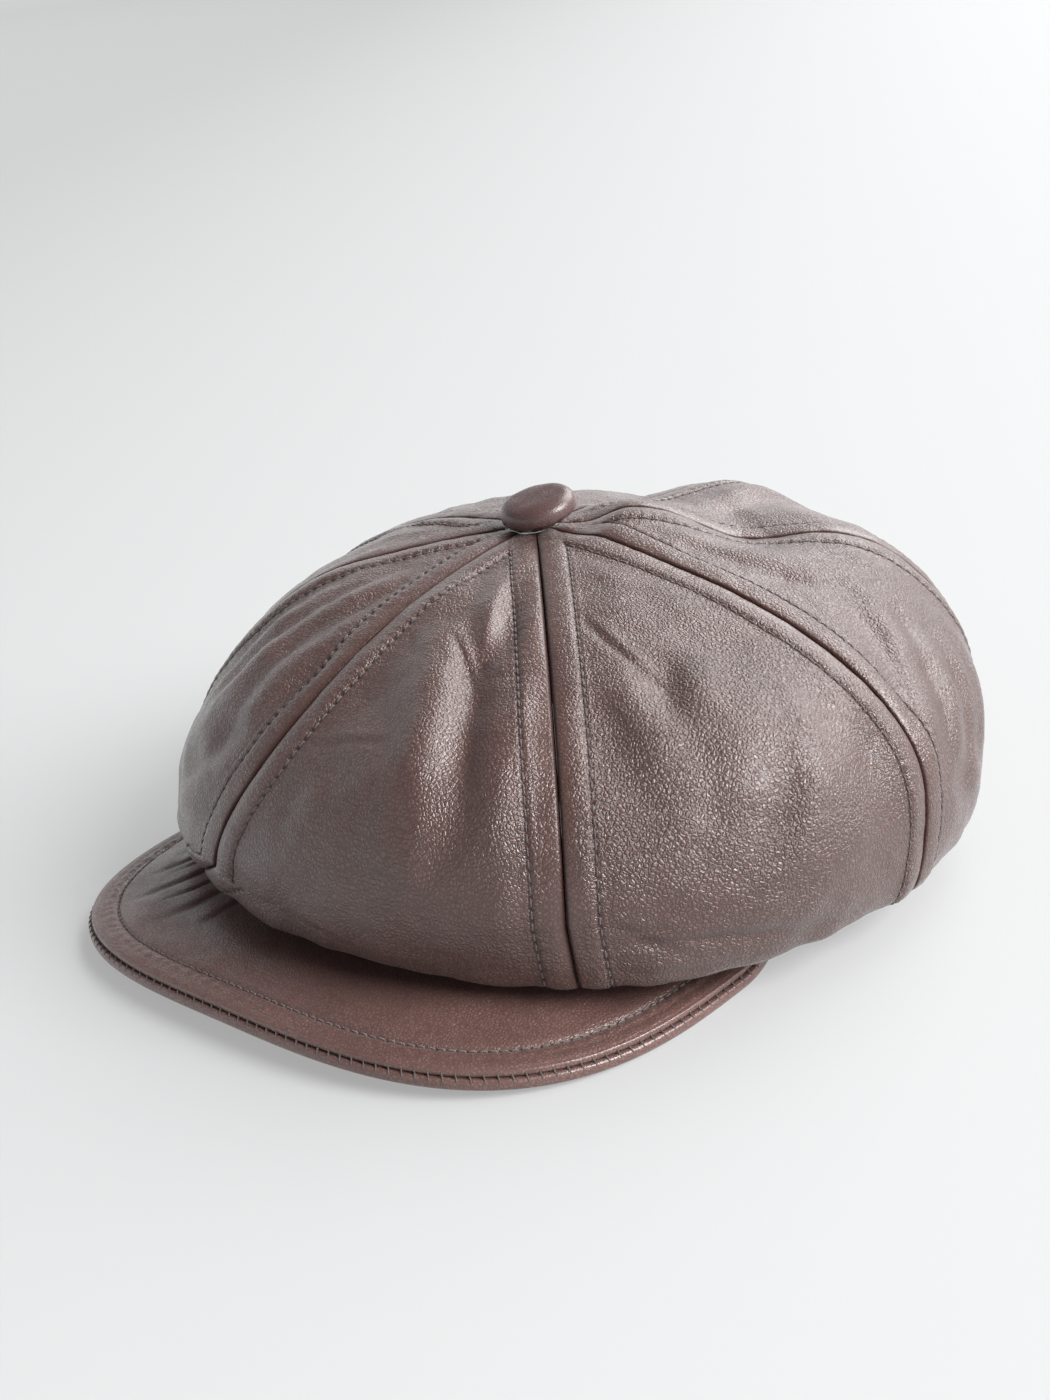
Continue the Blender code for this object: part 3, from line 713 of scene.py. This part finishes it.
def make_crown():
    """Eight high-resolution leather gores with rolled seam edges."""
    s = crown_rows()
    for gore in GORES:
        azimuth, drop = gore_columns(gore, s)
        rows = np.broadcast_to(s[:, None], azimuth.shape)
        points, _, marks = crown_skin(gore, azimuth, rows, drop)
        name = "crown_gore_%d" % (gore + 1)
        piece = make_piece(name, points, grid_faces(*azimuth.shape), CROWN_LEATHER, "crown_leather", marks)
        thicken(piece, LEATHER)
        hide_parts("crown_panel_%d" % (gore + 1))
        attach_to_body(piece, "cap")


def make_crown_stitches():
    """A row of stitches on each side of every seam."""
    for seam in GORES:
        places, lengths = SEAM_TABLES[seam]
        last = np.interp(LAST_STITCH_PLACE, places, lengths)
        numbers = np.arange(math.ceil(FIRST_STITCH / STITCH_PITCH), int(last / STITCH_PITCH))
        middles = (numbers + 0.5) * STITCH_PITCH
        s = np.interp(middles, lengths, places)
        paths, ups = [], []
        for side in (-1, 1):
            gore = seam if side > 0 else (seam - 1) % len(SEAM_AZIMUTHS)
            own = seam if side > 0 else gore + 1
            points = []
            for nudge in (-0.4, 0.0, 0.4):
                near = np.interp(middles + nudge, lengths, places)
                azimuth = seam_azimuth(own, near)
                reach = crown_normal(azimuth, near)[1]
                azimuth = azimuth + side * BAND_WIDTH * seam_slant(own, near) / reach
                point, normal, _ = crown_skin(gore, azimuth, near)
                points.append(point)
            direction = unit(points[2] - points[0])
            width = seam_azimuth(gore + 1, s) - seam_azimuth(gore, s)
            width = width * crown_normal(seam_azimuth(own, s), s)[1]
            shown = width > 2.1 * BAND_WIDTH
            paths.append(stitch_paths(points[1], direction, normal)[shown])
            ups.append(normal[shown])
        thread = tubes(np.concatenate(paths), np.concatenate(ups), THREAD_RADIUS)
        piece = make_piece("crown_stitches_%d" % (seam + 1), *thread, CROWN_THREAD, "thread")
        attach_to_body(piece, "cap")


def cut_size(points):
    """Width, length and area, in metres, of a cloth gore before it was sewn in."""
    width = norm(np.diff(points, axis=1)).sum(axis=1).max()
    length = norm(np.diff(points[:, points.shape[1] // 2], axis=0)).sum()
    diagonals = np.cross(points[1:, 1:] - points[:-1, :-1], points[1:, :-1] - points[:-1, 1:])
    area = norm(diagonals).sum() / 2
    return width * MM, length * MM, area * MM * MM


def make_lining():
    """Eight cloth gores inside the crown, a little slack."""
    s = np.concatenate([np.linspace(0.03, 1.0, 40), np.linspace(1.05, 3.0, 40)])
    for gore in GORES:
        start, end = seam_azimuth(gore, s)[:, None], seam_azimuth(gore + 1, s)[:, None]
        azimuth = start + (end - start) * np.linspace(0.004, 0.996, 36)
        rows = np.broadcast_to(s[:, None], azimuth.shape)
        base = crown_surface(azimuth, rows)
        normal = crown_normal(azimuth, rows)[0]
        across = np.broadcast_to(np.linspace(0, 1, 36), azimuth.shape)
        puff = PANEL_PUFF * 4 * across * (1 - across) * swell(rows)
        ripple = 0.35 * waves(base, 16.0, gore + 80)
        depth = puff + slump(base) + ripple - LINING_INSET - LINING_SLACK * swell(rows)
        points = base + normal * depth[..., None]
        name = "lining_gore_%d" % (gore + 1)
        piece = make_piece(name, points, grid_faces(*azimuth.shape), LINING, "lining_cloth")
        thicken(piece, LINING_THICKNESS)
        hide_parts("lining_panel_%d" % (gore + 1))
        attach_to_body(piece, "cap")
        width, length, area = cut_size(points)


# --- Headband ---

STAND_OUTER = 1.2
SWEAT_OUTER = -1.8
SWEAT_INNER = -2.7
BAND_STITCH_HEIGHT = 3.0


def band_wobble(azimuth):
    """How far the soft band strays from its oval."""
    return 0.25 * np.sin(azimuth * 7 + 1) * np.sin(azimuth * 3)


def rounded_section(inner, outer, low, high, steps=5):
    """A closed upright strip section with round ends, as (offset, height) points."""
    half = (outer - inner) / 2
    middle = (outer + inner) / 2
    up = (0.12, 0.2, 0.35, 0.5, 0.65, 0.8)
    section = []
    for height, start, side, run in ((low + half, -180, outer, up), (high - half, 0, inner, up[::-1])):
        for turn in np.radians(np.linspace(start, start + 180, steps)):
            section.append((middle + half * math.cos(turn), height + half * math.sin(turn)))
        section += [(side, blend(low, high, share)) for share in run]
    return np.array(section)


def make_band(name, node, section, material, slot):
    """An oval strip with the given section, slightly uneven."""
    azimuth = np.radians(np.linspace(0, 360, 288, endpoint=False))
    offset = section[:, 0][:, None] + band_wobble(azimuth)
    points = band_point(azimuth[None, :], offset, section[:, 1][:, None])
    faces = grid_faces(len(section), len(azimuth), closed_rows=True, closed_columns=True)
    piece = make_piece(name, points, faces[:, ::-1], material, slot)
    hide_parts(node)
    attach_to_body(piece, "cap")


def make_headband():
    """Leather stand and sweatband, each with a stitched lower edge."""
    stand = rounded_section(0.0, STAND_OUTER, 0.0, BAND_HEIGHT)
    sweatband = rounded_section(SWEAT_INNER, SWEAT_OUTER, LAYER_GAP, BAND_HEIGHT)
    make_band("headband_leather", "headband", stand, BAND_LEATHER, "band_leather")
    make_band("sweatband_leather", "sweatband", sweatband, SWEAT_LEATHER, "sweatband_leather")
    rows = (("headband_stitches", STAND_OUTER, 1), ("sweatband_stitches", SWEAT_INNER, -1))
    for name, offset, facing in rows:
        count = int(2 * math.pi * BAND_HALF_LENGTH * 0.92 / STITCH_PITCH)
        azimuth = np.linspace(0, 2 * math.pi, count, endpoint=False)
        middles = band_point(azimuth, offset + band_wobble(azimuth), BAND_STITCH_HEIGHT)
        ahead = band_point(azimuth + 0.002, offset + band_wobble(azimuth), BAND_STITCH_HEIGHT)
        direction = unit(ahead - middles)
        normal = outward(azimuth) * facing
        thread = tubes(stitch_paths(middles, direction, normal), normal, THREAD_RADIUS)
        piece = make_piece(name, *thread, CROWN_THREAD, "thread")
        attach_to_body(piece, "cap")


# --- Peak ---


def peak_rim(share):
    """The peak's outline; share runs -1 to 1 round the rim. Also gives how far it turns in."""
    side = math.copysign(1.0, share)
    corner_start = 1 - PEAK_CORNER_SHARE
    if abs(share) <= corner_start:
        swing = abs(share) / corner_start * math.pi / 2
        x = PEAK_HALF_WIDTH * math.sin(swing) ** (2 / PEAK_SQUARENESS)
        y = PEAK_SIDE_Y - PEAK_DEPTH * max(math.cos(swing), 0.0) ** (2 / PEAK_SQUARENESS)
        return side * x, y, 0.0
    swing = (abs(share) - corner_start) / PEAK_CORNER_SHARE * math.pi / 2
    tip = band_point(math.radians(PEAK_SEAM_SPAN), PEAK_TIP_WIDTH, 0.0)
    x = tip[0] + (PEAK_HALF_WIDTH - tip[0]) * math.cos(swing)
    y = PEAK_SIDE_Y + (tip[1] - PEAK_SIDE_Y) * math.sin(swing)
    return side * x, y, math.sin(swing)


def rim_frames(count):
    """Arrays of seam points, rim points and the rim's outward sides, evenly spaced."""
    outline = np.array([peak_rim(share) for share in np.linspace(-1, 1, 3000)])
    lengths = np.concatenate([[0.0], np.cumsum(norm(np.diff(outline[:, :2], axis=0)))])
    even = np.linspace(0, lengths[-1], count)
    rim = np.stack([np.interp(even, lengths, outline[:, axis]) for axis in range(3)], axis=1)
    position = np.linspace(-1, 1, count)
    turn = np.radians(position * PEAK_SEAM_SPAN)
    seam = band_point(turn, PEAK_CLEARANCE, PEAK_HALF_THICKNESS + LAYER_GAP)
    level = PEAK_HALF_THICKNESS + RIM_ARCH * (1 - (rim[:, 0] / PEAK_HALF_WIDTH) ** 2)
    height = blend(level, seam[:, 2], rim[:, 2] ** 2)
    run = unit(np.gradient(rim[:, :2], axis=0))
    side = vectors(run[:, 1], -run[:, 0], 0.0)
    return seam, vectors(rim[:, 0], rim[:, 1], height), side, even


TOPSTITCH_INSET = 9.6
PEAK_PITCH = 3.0
UPPER_LIP = 0.95
LOWER_LIP = 1.6
COVER_THICKNESS = 0.9
BOARD_THICKNESS = 2.2
PEAK_THREAD_RADIUS = 0.25
LACING_START = 14.0
LACING_PITCH = 3.6
LACING_RADIUS = 0.22


def peak_section(facing):
    """(distance in from the rim, lift) points of a cover's outer face from the rim inward."""
    radius = UPPER_LIP if facing > 0 else LOWER_LIP
    out = 1.3 if facing > 0 else 0.0
    section = [(out + 2.4, PEAK_HALF_THICKNESS - 2 * radius + 0.1)]
    for turn in np.radians(np.linspace(-75, 90, 12)):
        lift = PEAK_HALF_THICKNESS - radius + radius * math.sin(turn)
        section.append((out + radius * (1 - max(math.cos(turn), 0.0) ** 0.45), lift))
    return np.array(section)


def peak_skin(frames, inset, lift, facing):
    """Points on a cover at distances in from the rim; far in, they run up to the headband's seam."""
    seam, rim, side, _ = frames
    edge = rim - side * PEAK_LIP_WIDTH
    span = seam - edge
    length = norm(span)[:, None]
    beyond = np.maximum(inset - PEAK_LIP_WIDTH, 0.0)
    rolled = rim[:, None, :] - side[:, None, :] * np.minimum(inset, PEAK_LIP_WIDTH)[..., None]
    points = rolled + (span[:, None, :] / length[..., None]) * np.minimum(beyond, length)[..., None]
    points[..., 2] += facing * lift
    return points


# Creases of the upper cover that fan out from under the crown: (place along the rim, half width,
# depth, how far in from the rim each starts).
PEAK_CREASES = (
    (88, 2.6, 0.40, 18), (99, 1.7, 0.65, 14), (106, 1.4, 0.45, 21), (117, 2.1, 0.75, 12),
    (129, 1.5, 0.55, 19), (142, 2.8, 0.60, 15), (158, 2.2, 0.35, 20),
)


def peak_relief(points, inset, along, facing):
    """Height of the topstitching, the padded rim and soft waves on a cover."""
    holes = 0.5 + 0.5 * np.cos(2 * math.pi * along / PEAK_PITCH)
    channel = -(0.4 + 0.2 * holes) * bell(inset - TOPSTITCH_INSET, 0.8)
    padded = 0.7 * smooth_step(0.8, 4.8, inset) * (1 - smooth_step(6.5, TOPSTITCH_INSET, inset))
    pulls = 0.12 * np.sin(along * 1.3 + np.sin(along * 0.37)) * bell(inset - TOPSTITCH_INSET + 2.2, 2.4)
    fan = np.zeros(inset.shape)
    for place, width, depth, start in PEAK_CREASES:
        run = bell(along + 0.25 * (inset - 20) - place, width) * smooth_step(start, start + 14.0, inset)
        fan -= (facing > 0) * depth * run
    inner = 0.25 * smooth_step(TOPSTITCH_INSET, 13.0, inset)
    soft = 0.28 * waves(points, 34.0, 7) * smooth_step(8.0, 20.0, inset)
    small = 0.05 * waves(points, 7.0, 8) * smooth_step(1.0, 3.0, inset)
    # Painted shade in the topstitch channel and along the crease valleys.
    painted_shade = 0.8 * bell(inset - TOPSTITCH_INSET, 0.8) * (0.5 + 0.5 * holes) - 0.5 * fan
    # The rolled rim and the padded band are painted paler: a painted highlight, with rubbed wear on the rim's
    # edge.
    wear_and_highlight = 0.8 * bell(inset - 1.0, 1.2) + 0.4 * bell(inset - 8.0, 1.0)
    grain = smooth_step(1.0, 4.0, inset)
    raised = (padded + inner) * (facing > 0)
    return channel + raised + pulls + fan + soft + small, {"painted_shade": painted_shade, "wear_and_highlight": wear_and_highlight, "grain": grain}


def make_peak_cover(name, node, facing, frames):
    """One leather cover of the peak, from its rolled lip in to the headband."""
    section = peak_section(facing)
    seam, rim, side, even = frames
    length = norm(seam - rim + side * PEAK_LIP_WIDTH)[:, None]
    fine = np.minimum(9.0, 0.6 * length) * np.linspace(0, 1, 24)[None, 1:]
    coarse = blend(fine[:, -1:], length, np.linspace(0, 1, 34)[None, 1:])
    lip = np.linspace(section[-1, 0], PEAK_LIP_WIDTH, 10)[1:]
    inset = np.concatenate([
        np.broadcast_to(section[:, 0], (len(even), len(section))),
        np.broadcast_to(lip, (len(even), len(lip))),
        PEAK_LIP_WIDTH + fine, PEAK_LIP_WIDTH + coarse,
    ], axis=1)
    lift = np.full(inset.shape, PEAK_HALF_THICKNESS)
    lift[:, :len(section)] = section[:, 1]
    points = peak_skin(frames, inset, lift, facing)
    along = np.broadcast_to(even[:, None], inset.shape)
    relief, marks = peak_relief(points, inset, along, facing)
    relief[:, :len(section)] = 0.0
    # Painted shadow: the upper cover is darkened where it runs in under the crown's hem.
    shade = 0.9 * smooth_step(30.0, 14.0, length + PEAK_LIP_WIDTH - inset)
    marks["painted_shade"] = marks["painted_shade"] + (facing > 0) * shade
    points[..., 2] += facing * relief
    faces = grid_faces(*inset.shape)
    if facing < 0:
        faces = faces[:, ::-1]
    piece = make_piece(name, points, faces, PEAK_LEATHER, "peak_leather", marks)
    thicken(piece, COVER_THICKNESS)
    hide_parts(node)
    return piece


def make_peak_stitches(frames):
    """The row of topstitching inside the rim and the short stitches that lace the two lips."""
    _, rim, side, even = frames
    pieces = []
    run = unit(np.gradient(rim, axis=0))

    def at(values, places):
        return np.stack([np.interp(places, even, values[:, axis]) for axis in range(3)], axis=1)

    places = (np.arange(5, int(even[-1] / PEAK_PITCH) - 5) + 0.5) * PEAK_PITCH
    near = (*(at(values, places) for values in frames[:3]), places)
    inset = np.full((len(places), 1), TOPSTITCH_INSET)
    for facing, name in ((1, "peak_topstitching"), (-1, "peak_under_stitching")):
        points = peak_skin(near, inset, np.full(inset.shape, PEAK_HALF_THICKNESS), facing)
        relief, _ = peak_relief(points, inset, places[:, None], facing)
        points[..., 2] += facing * relief
        normals = np.broadcast_to(np.array([0.0, 0.0, facing]), (len(places), 3))
        paths = stitch_paths(points[:, 0], at(run, places), normals, length=2.2)
        pieces.append(make_piece(name, *tubes(paths, normals, PEAK_THREAD_RADIUS), PEAK_THREAD, "thread"))
    places = np.arange(LACING_START, even[-1] - LACING_START, LACING_PITCH)
    middle, out, tangent = at(rim, places), at(side, places), at(run, places)
    share = np.linspace(0, 1, 9)
    lift = blend(2.2, -0.5, share)
    bulge = np.interp(share, (0.0, 0.12, 0.45, 0.75, 1.0), (-2.0, -1.5, -1.1, -0.25, -0.15))
    slant = blend(-0.35, 0.35, share)
    paths = middle[:, None, :] + out[:, None, :] * bulge[None, :, None]
    paths = paths + tangent[:, None, :] * slant[None, :, None]
    paths[..., 2] += lift
    pieces.append(make_piece("peak_lacing", *tubes(paths, out, LACING_RADIUS), CROWN_THREAD, "thread"))
    return pieces


def make_peak_board(frames):
    """The stiff board between the covers."""
    chosen = slice(8, -8)
    frames = tuple(part[chosen] for part in frames)
    seam, rim, side, _ = frames
    length = norm(seam - rim + side * PEAK_LIP_WIDTH)[:, None]
    inset = PEAK_LIP_WIDTH + length * np.linspace(0.03, 0.97, 16)[None, :]
    points = peak_skin(frames, inset, np.full(inset.shape, BOARD_THICKNESS / 2), 1)
    piece = make_piece("peak_board_plastic", points, grid_faces(*inset.shape), BOARD, "peak_board")
    thicken(piece, BOARD_THICKNESS)
    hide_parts("peak_board")
    return piece


def make_peak():
    """Covers, stitches and board of the peak, with their thickness applied."""
    frames = rim_frames(420)
    pieces = [
        make_peak_cover("peak_upper_leather", "peak_top_cover", 1, frames),
        make_peak_cover("peak_lower_leather", "peak_bottom_cover", -1, frames),
        make_peak_board(frames),
    ]
    pieces += make_peak_stitches(frames)
    hinge_y = band_point(np.radians(PEAK_SEAM_SPAN / 2), 0.0, 0.0)[1]
    for piece in pieces:
        for modifier in list(piece.modifiers):
            bpy.context.view_layer.objects.active = piece
            bpy.ops.object.modifier_apply(modifier=modifier.name)
        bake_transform(piece)


# --- Button ---


def button_points(radius, height, azimuth):
    """Points of the tilted button from its own radius, height and azimuth."""
    lean = Vector(outward(math.radians(BUTTON_LEAN_AZIMUTH)))
    tilt = np.array(Matrix.Rotation(math.radians(BUTTON_TILT), 3, lean))
    flat = outward(azimuth) * np.asarray(radius)[..., None]
    flat[..., 2] = height
    return BUTTON_PLACE + flat @ tilt.T


def make_button():
    """Leather dome gathered under its rim."""
    turn = np.radians(np.linspace(88, 0, 26))
    radius = list(BUTTON_RADIUS * np.cos(turn) ** 0.38)
    height = list(BUTTON_RIM_HEIGHT + (BUTTON_TOP_HEIGHT - BUTTON_RIM_HEIGHT) * np.sin(turn) ** 0.72)
    for share in np.linspace(0, 1, 14)[1:]:
        radius.append(blend(BUTTON_RADIUS, BUTTON_BASE_RADIUS, share ** 1.6))
        height.append(blend(BUTTON_RIM_HEIGHT, BUTTON_BASE_HEIGHT, share ** 0.9))
    radius, height = np.array(radius)[:, None], np.array(height)[:, None]
    azimuth = np.radians(np.linspace(0, 360, 144, endpoint=False))[None, :]
    below = smooth_step(0.2, -2.4, height - BUTTON_RIM_HEIGHT)
    pleats = 0.22 * below * np.sin(azimuth * 19 + 0.8 * np.sin(azimuth * 5))
    points = button_points(radius + pleats, height + 0.0 * azimuth, azimuth + 0.0 * radius)
    points[..., 2] += 0.07 * waves(points, 8.0, 3)
    # The shoulder at the face's edge is painted paler: a painted highlight.
    wear_and_highlight = np.broadcast_to(bell(height - BUTTON_RIM_HEIGHT - 0.3, 0.9), points.shape[:-1])
    # Painted shade darkens the pleats gathered under the rim.
    marks = {"painted_shade": below * (0.5 + 0.5 * np.sin(azimuth * 19)) + 0.0 * radius, "wear_and_highlight": wear_and_highlight,
             "grain": np.ones(points.shape[:-1])}
    faces = grid_faces(len(radius), azimuth.size, closed_columns=True).tolist()
    centre = len(radius) * azimuth.size
    faces += [[centre, column, (column + 1) % azimuth.size] for column in range(azimuth.size)]
    top = button_points(np.zeros(1), np.array([BUTTON_TOP_HEIGHT]), np.zeros(1))
    points = np.concatenate([points.reshape(-1, 3), top])
    marks = {key: np.append(np.ravel(values), values[0, 0]) for key, values in marks.items()}
    piece = make_piece("button_leather", points, faces, BUTTON_LEATHER, "button_leather", marks)
    thicken(piece, BUTTON_THICKNESS)
    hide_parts("button_cover")
    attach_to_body(piece, "button")


def make_thread_wrap():
    """Pale thread wound loosely round the button's shank, with a loose loop at the front."""
    turn = np.linspace(0, 2 * math.pi * 2.12, 160)
    loose = smooth_step(10.8, 11.8, turn) * smooth_step(13.6, 13.0, turn)
    radius = 4.2 + 0.3 * np.sin(turn * 1.7) + 0.2 * np.sin(turn * 4.1)
    radius += loose * (6.7 + 0.7 * np.sin(turn * 9.0))
    points = outward(turn) * radius[:, None]
    points[:, 2] = 0.85 + 0.06 * turn / math.pi + 0.1 * np.sin(turn * 2.3)
    points[:, 2] += loose * (0.2 + 0.2 * np.sin(turn * 6.0))
    thread = tubes((BUTTON_PLACE + points)[None], np.array([[0.0, 0.0, 1.0]]), 0.2)
    piece = make_piece("button_thread_wrap", *thread, PALE_THREAD, "thread")
    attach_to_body(piece, "thread")


# --- Stage ---

FLOOR_RADIUS = 6500.0
FLOOR_DROP = 0.2
SWEEP_RADIUS = 900.0
WALL_TOP = 2400.0
CAMERA_AZIMUTH = 43.5
CAMERA_ELEVATION = 22.64
CAMERA_DISTANCE = 610.6
CAMERA_AIM = (-5.0, 46.3)
CAMERA_ROLL = -6.4
CAMERA_LENS = 51.43


def make_floor():
    """A pale sweep: a flat floor that curves up far behind the cap, with painted light that makes one side
    lighter and makes it glow.
    """
    profile = [(radius, 0.0) for radius in (0.0, 300.0, 900.0, 1600.0, 3500.0, FLOOR_RADIUS)]
    for turn in np.radians(np.linspace(0, 90, 12))[1:]:
        profile.append((FLOOR_RADIUS + SWEEP_RADIUS * math.sin(turn), SWEEP_RADIUS * (1 - math.cos(turn))))
    profile.append((FLOOR_RADIUS + SWEEP_RADIUS, WALL_TOP))
    azimuth = np.radians(np.linspace(0, 360, 96, endpoint=False))
    points = np.concatenate([outward(azimuth) * radius + (0, 0, height) for radius, height in profile])
    faces = grid_faces(len(profile), len(azimuth), closed_columns=True)
    material, tree, shader, place = start_material("floor_paper")
    parts = add(tree, "SeparateXYZ", {"Vector": place}).outputs
    across = calculate(tree, "MULTIPLY_ADD", parts["X"], 0.828, times(tree, parts["Y"], 0.579))
    # Painted light: the floor's colour grows lighter across towards the lit right side.
    light = ramp(tree, across, -1.0, 0.8)
    colour = mix_colours(tree, light, (0.165, 0.168, 0.168), (0.390, 0.393, 0.397))
    # Painted light: the floor glows, more up the sweep than on the flat, lifting it and softening the shadows
    # on it.
    painted_glow = ramp(tree, parts["Z"], 0.0, 1.2, 0.35, 0.62)
    feed(tree, shader, {
        "Base Color": colour, "Roughness": 0.9, "Specular IOR Level": 0.0,
        "Emission Color": (1.0, 1.0, 1.0, 1.0), "Emission Strength": painted_glow,
    })
    floor = make_surface("floor", points, faces, material, np.zeros(3))
    floor.location.z = -FLOOR_DROP * MM


def from_cap(azimuth, elevation):
    """The direction from the cap to something at an azimuth and elevation, in degrees."""
    turn, rise = math.radians(azimuth), math.radians(elevation)
    return Vector((math.sin(turn) * math.cos(rise), -math.cos(turn) * math.cos(rise), math.sin(rise)))


def make_camera():
    """The camera, looking down at the cap's front and left side."""
    forward = -from_cap(CAMERA_AZIMUTH, CAMERA_ELEVATION)
    turn, roll = math.radians(CAMERA_AZIMUTH), math.radians(CAMERA_ROLL)
    right = Vector((math.cos(turn), math.sin(turn), 0.0))
    up = right.cross(forward)
    rolled_right = right * math.cos(roll) + up * math.sin(roll)
    rolled_up = up * math.cos(roll) - right * math.sin(roll)
    data = bpy.data.cameras.new("camera")
    data.lens = CAMERA_LENS
    camera = show("camera", data)
    aim = Vector(ORIGIN) + (right * CAMERA_AIM[0] + Vector((0, 0, CAMERA_AIM[1]))) * MM
    columns = (rolled_right, rolled_up, -forward, aim - forward * CAMERA_DISTANCE * MM)
    camera.matrix_world = Matrix([[column[row] for column in columns] for row in range(3)] + [[0, 0, 0, 1]])
    bpy.context.scene.camera = camera


def make_light(name, azimuth, elevation, spread, power):
    """A far soft light from an azimuth and elevation; spread is how wide it looks, in degrees."""
    back = from_cap(azimuth, elevation)
    data = bpy.data.lights.new(name, "SUN")
    data.angle = math.radians(spread)
    data.energy = power
    light = show(name, data)
    light.location = back * 2.0
    light.rotation_mode = "QUATERNION"
    light.rotation_quaternion = back.to_track_quat("Z", "Y")


def make_stage():
    """Floor, camera, soft window lights and a pale surround."""
    make_floor()
    make_camera()
    make_light("window", 105.0, 35.0, 38.0, 4.9)
    make_light("back_window", 178.0, 32.0, 54.0, 2.9)
    make_light("side_window", 120.0, 18.0, 40.0, 1.6)
    world = bpy.data.worlds.new("surround")
    world.use_nodes = True
    background = world.node_tree.nodes["Background"]
    feed(world.node_tree, background, {"Color": (0.95, 0.97, 1.0, 1.0), "Strength": 0.28})
    scene = bpy.context.scene
    scene.world = world
    scene.view_settings.view_transform = "Standard"
    scene.view_settings.look = "None"


make_stage()
make_crown()
make_crown_stitches()
make_headband()
make_lining()
make_peak()
make_button()
make_thread_wrap()
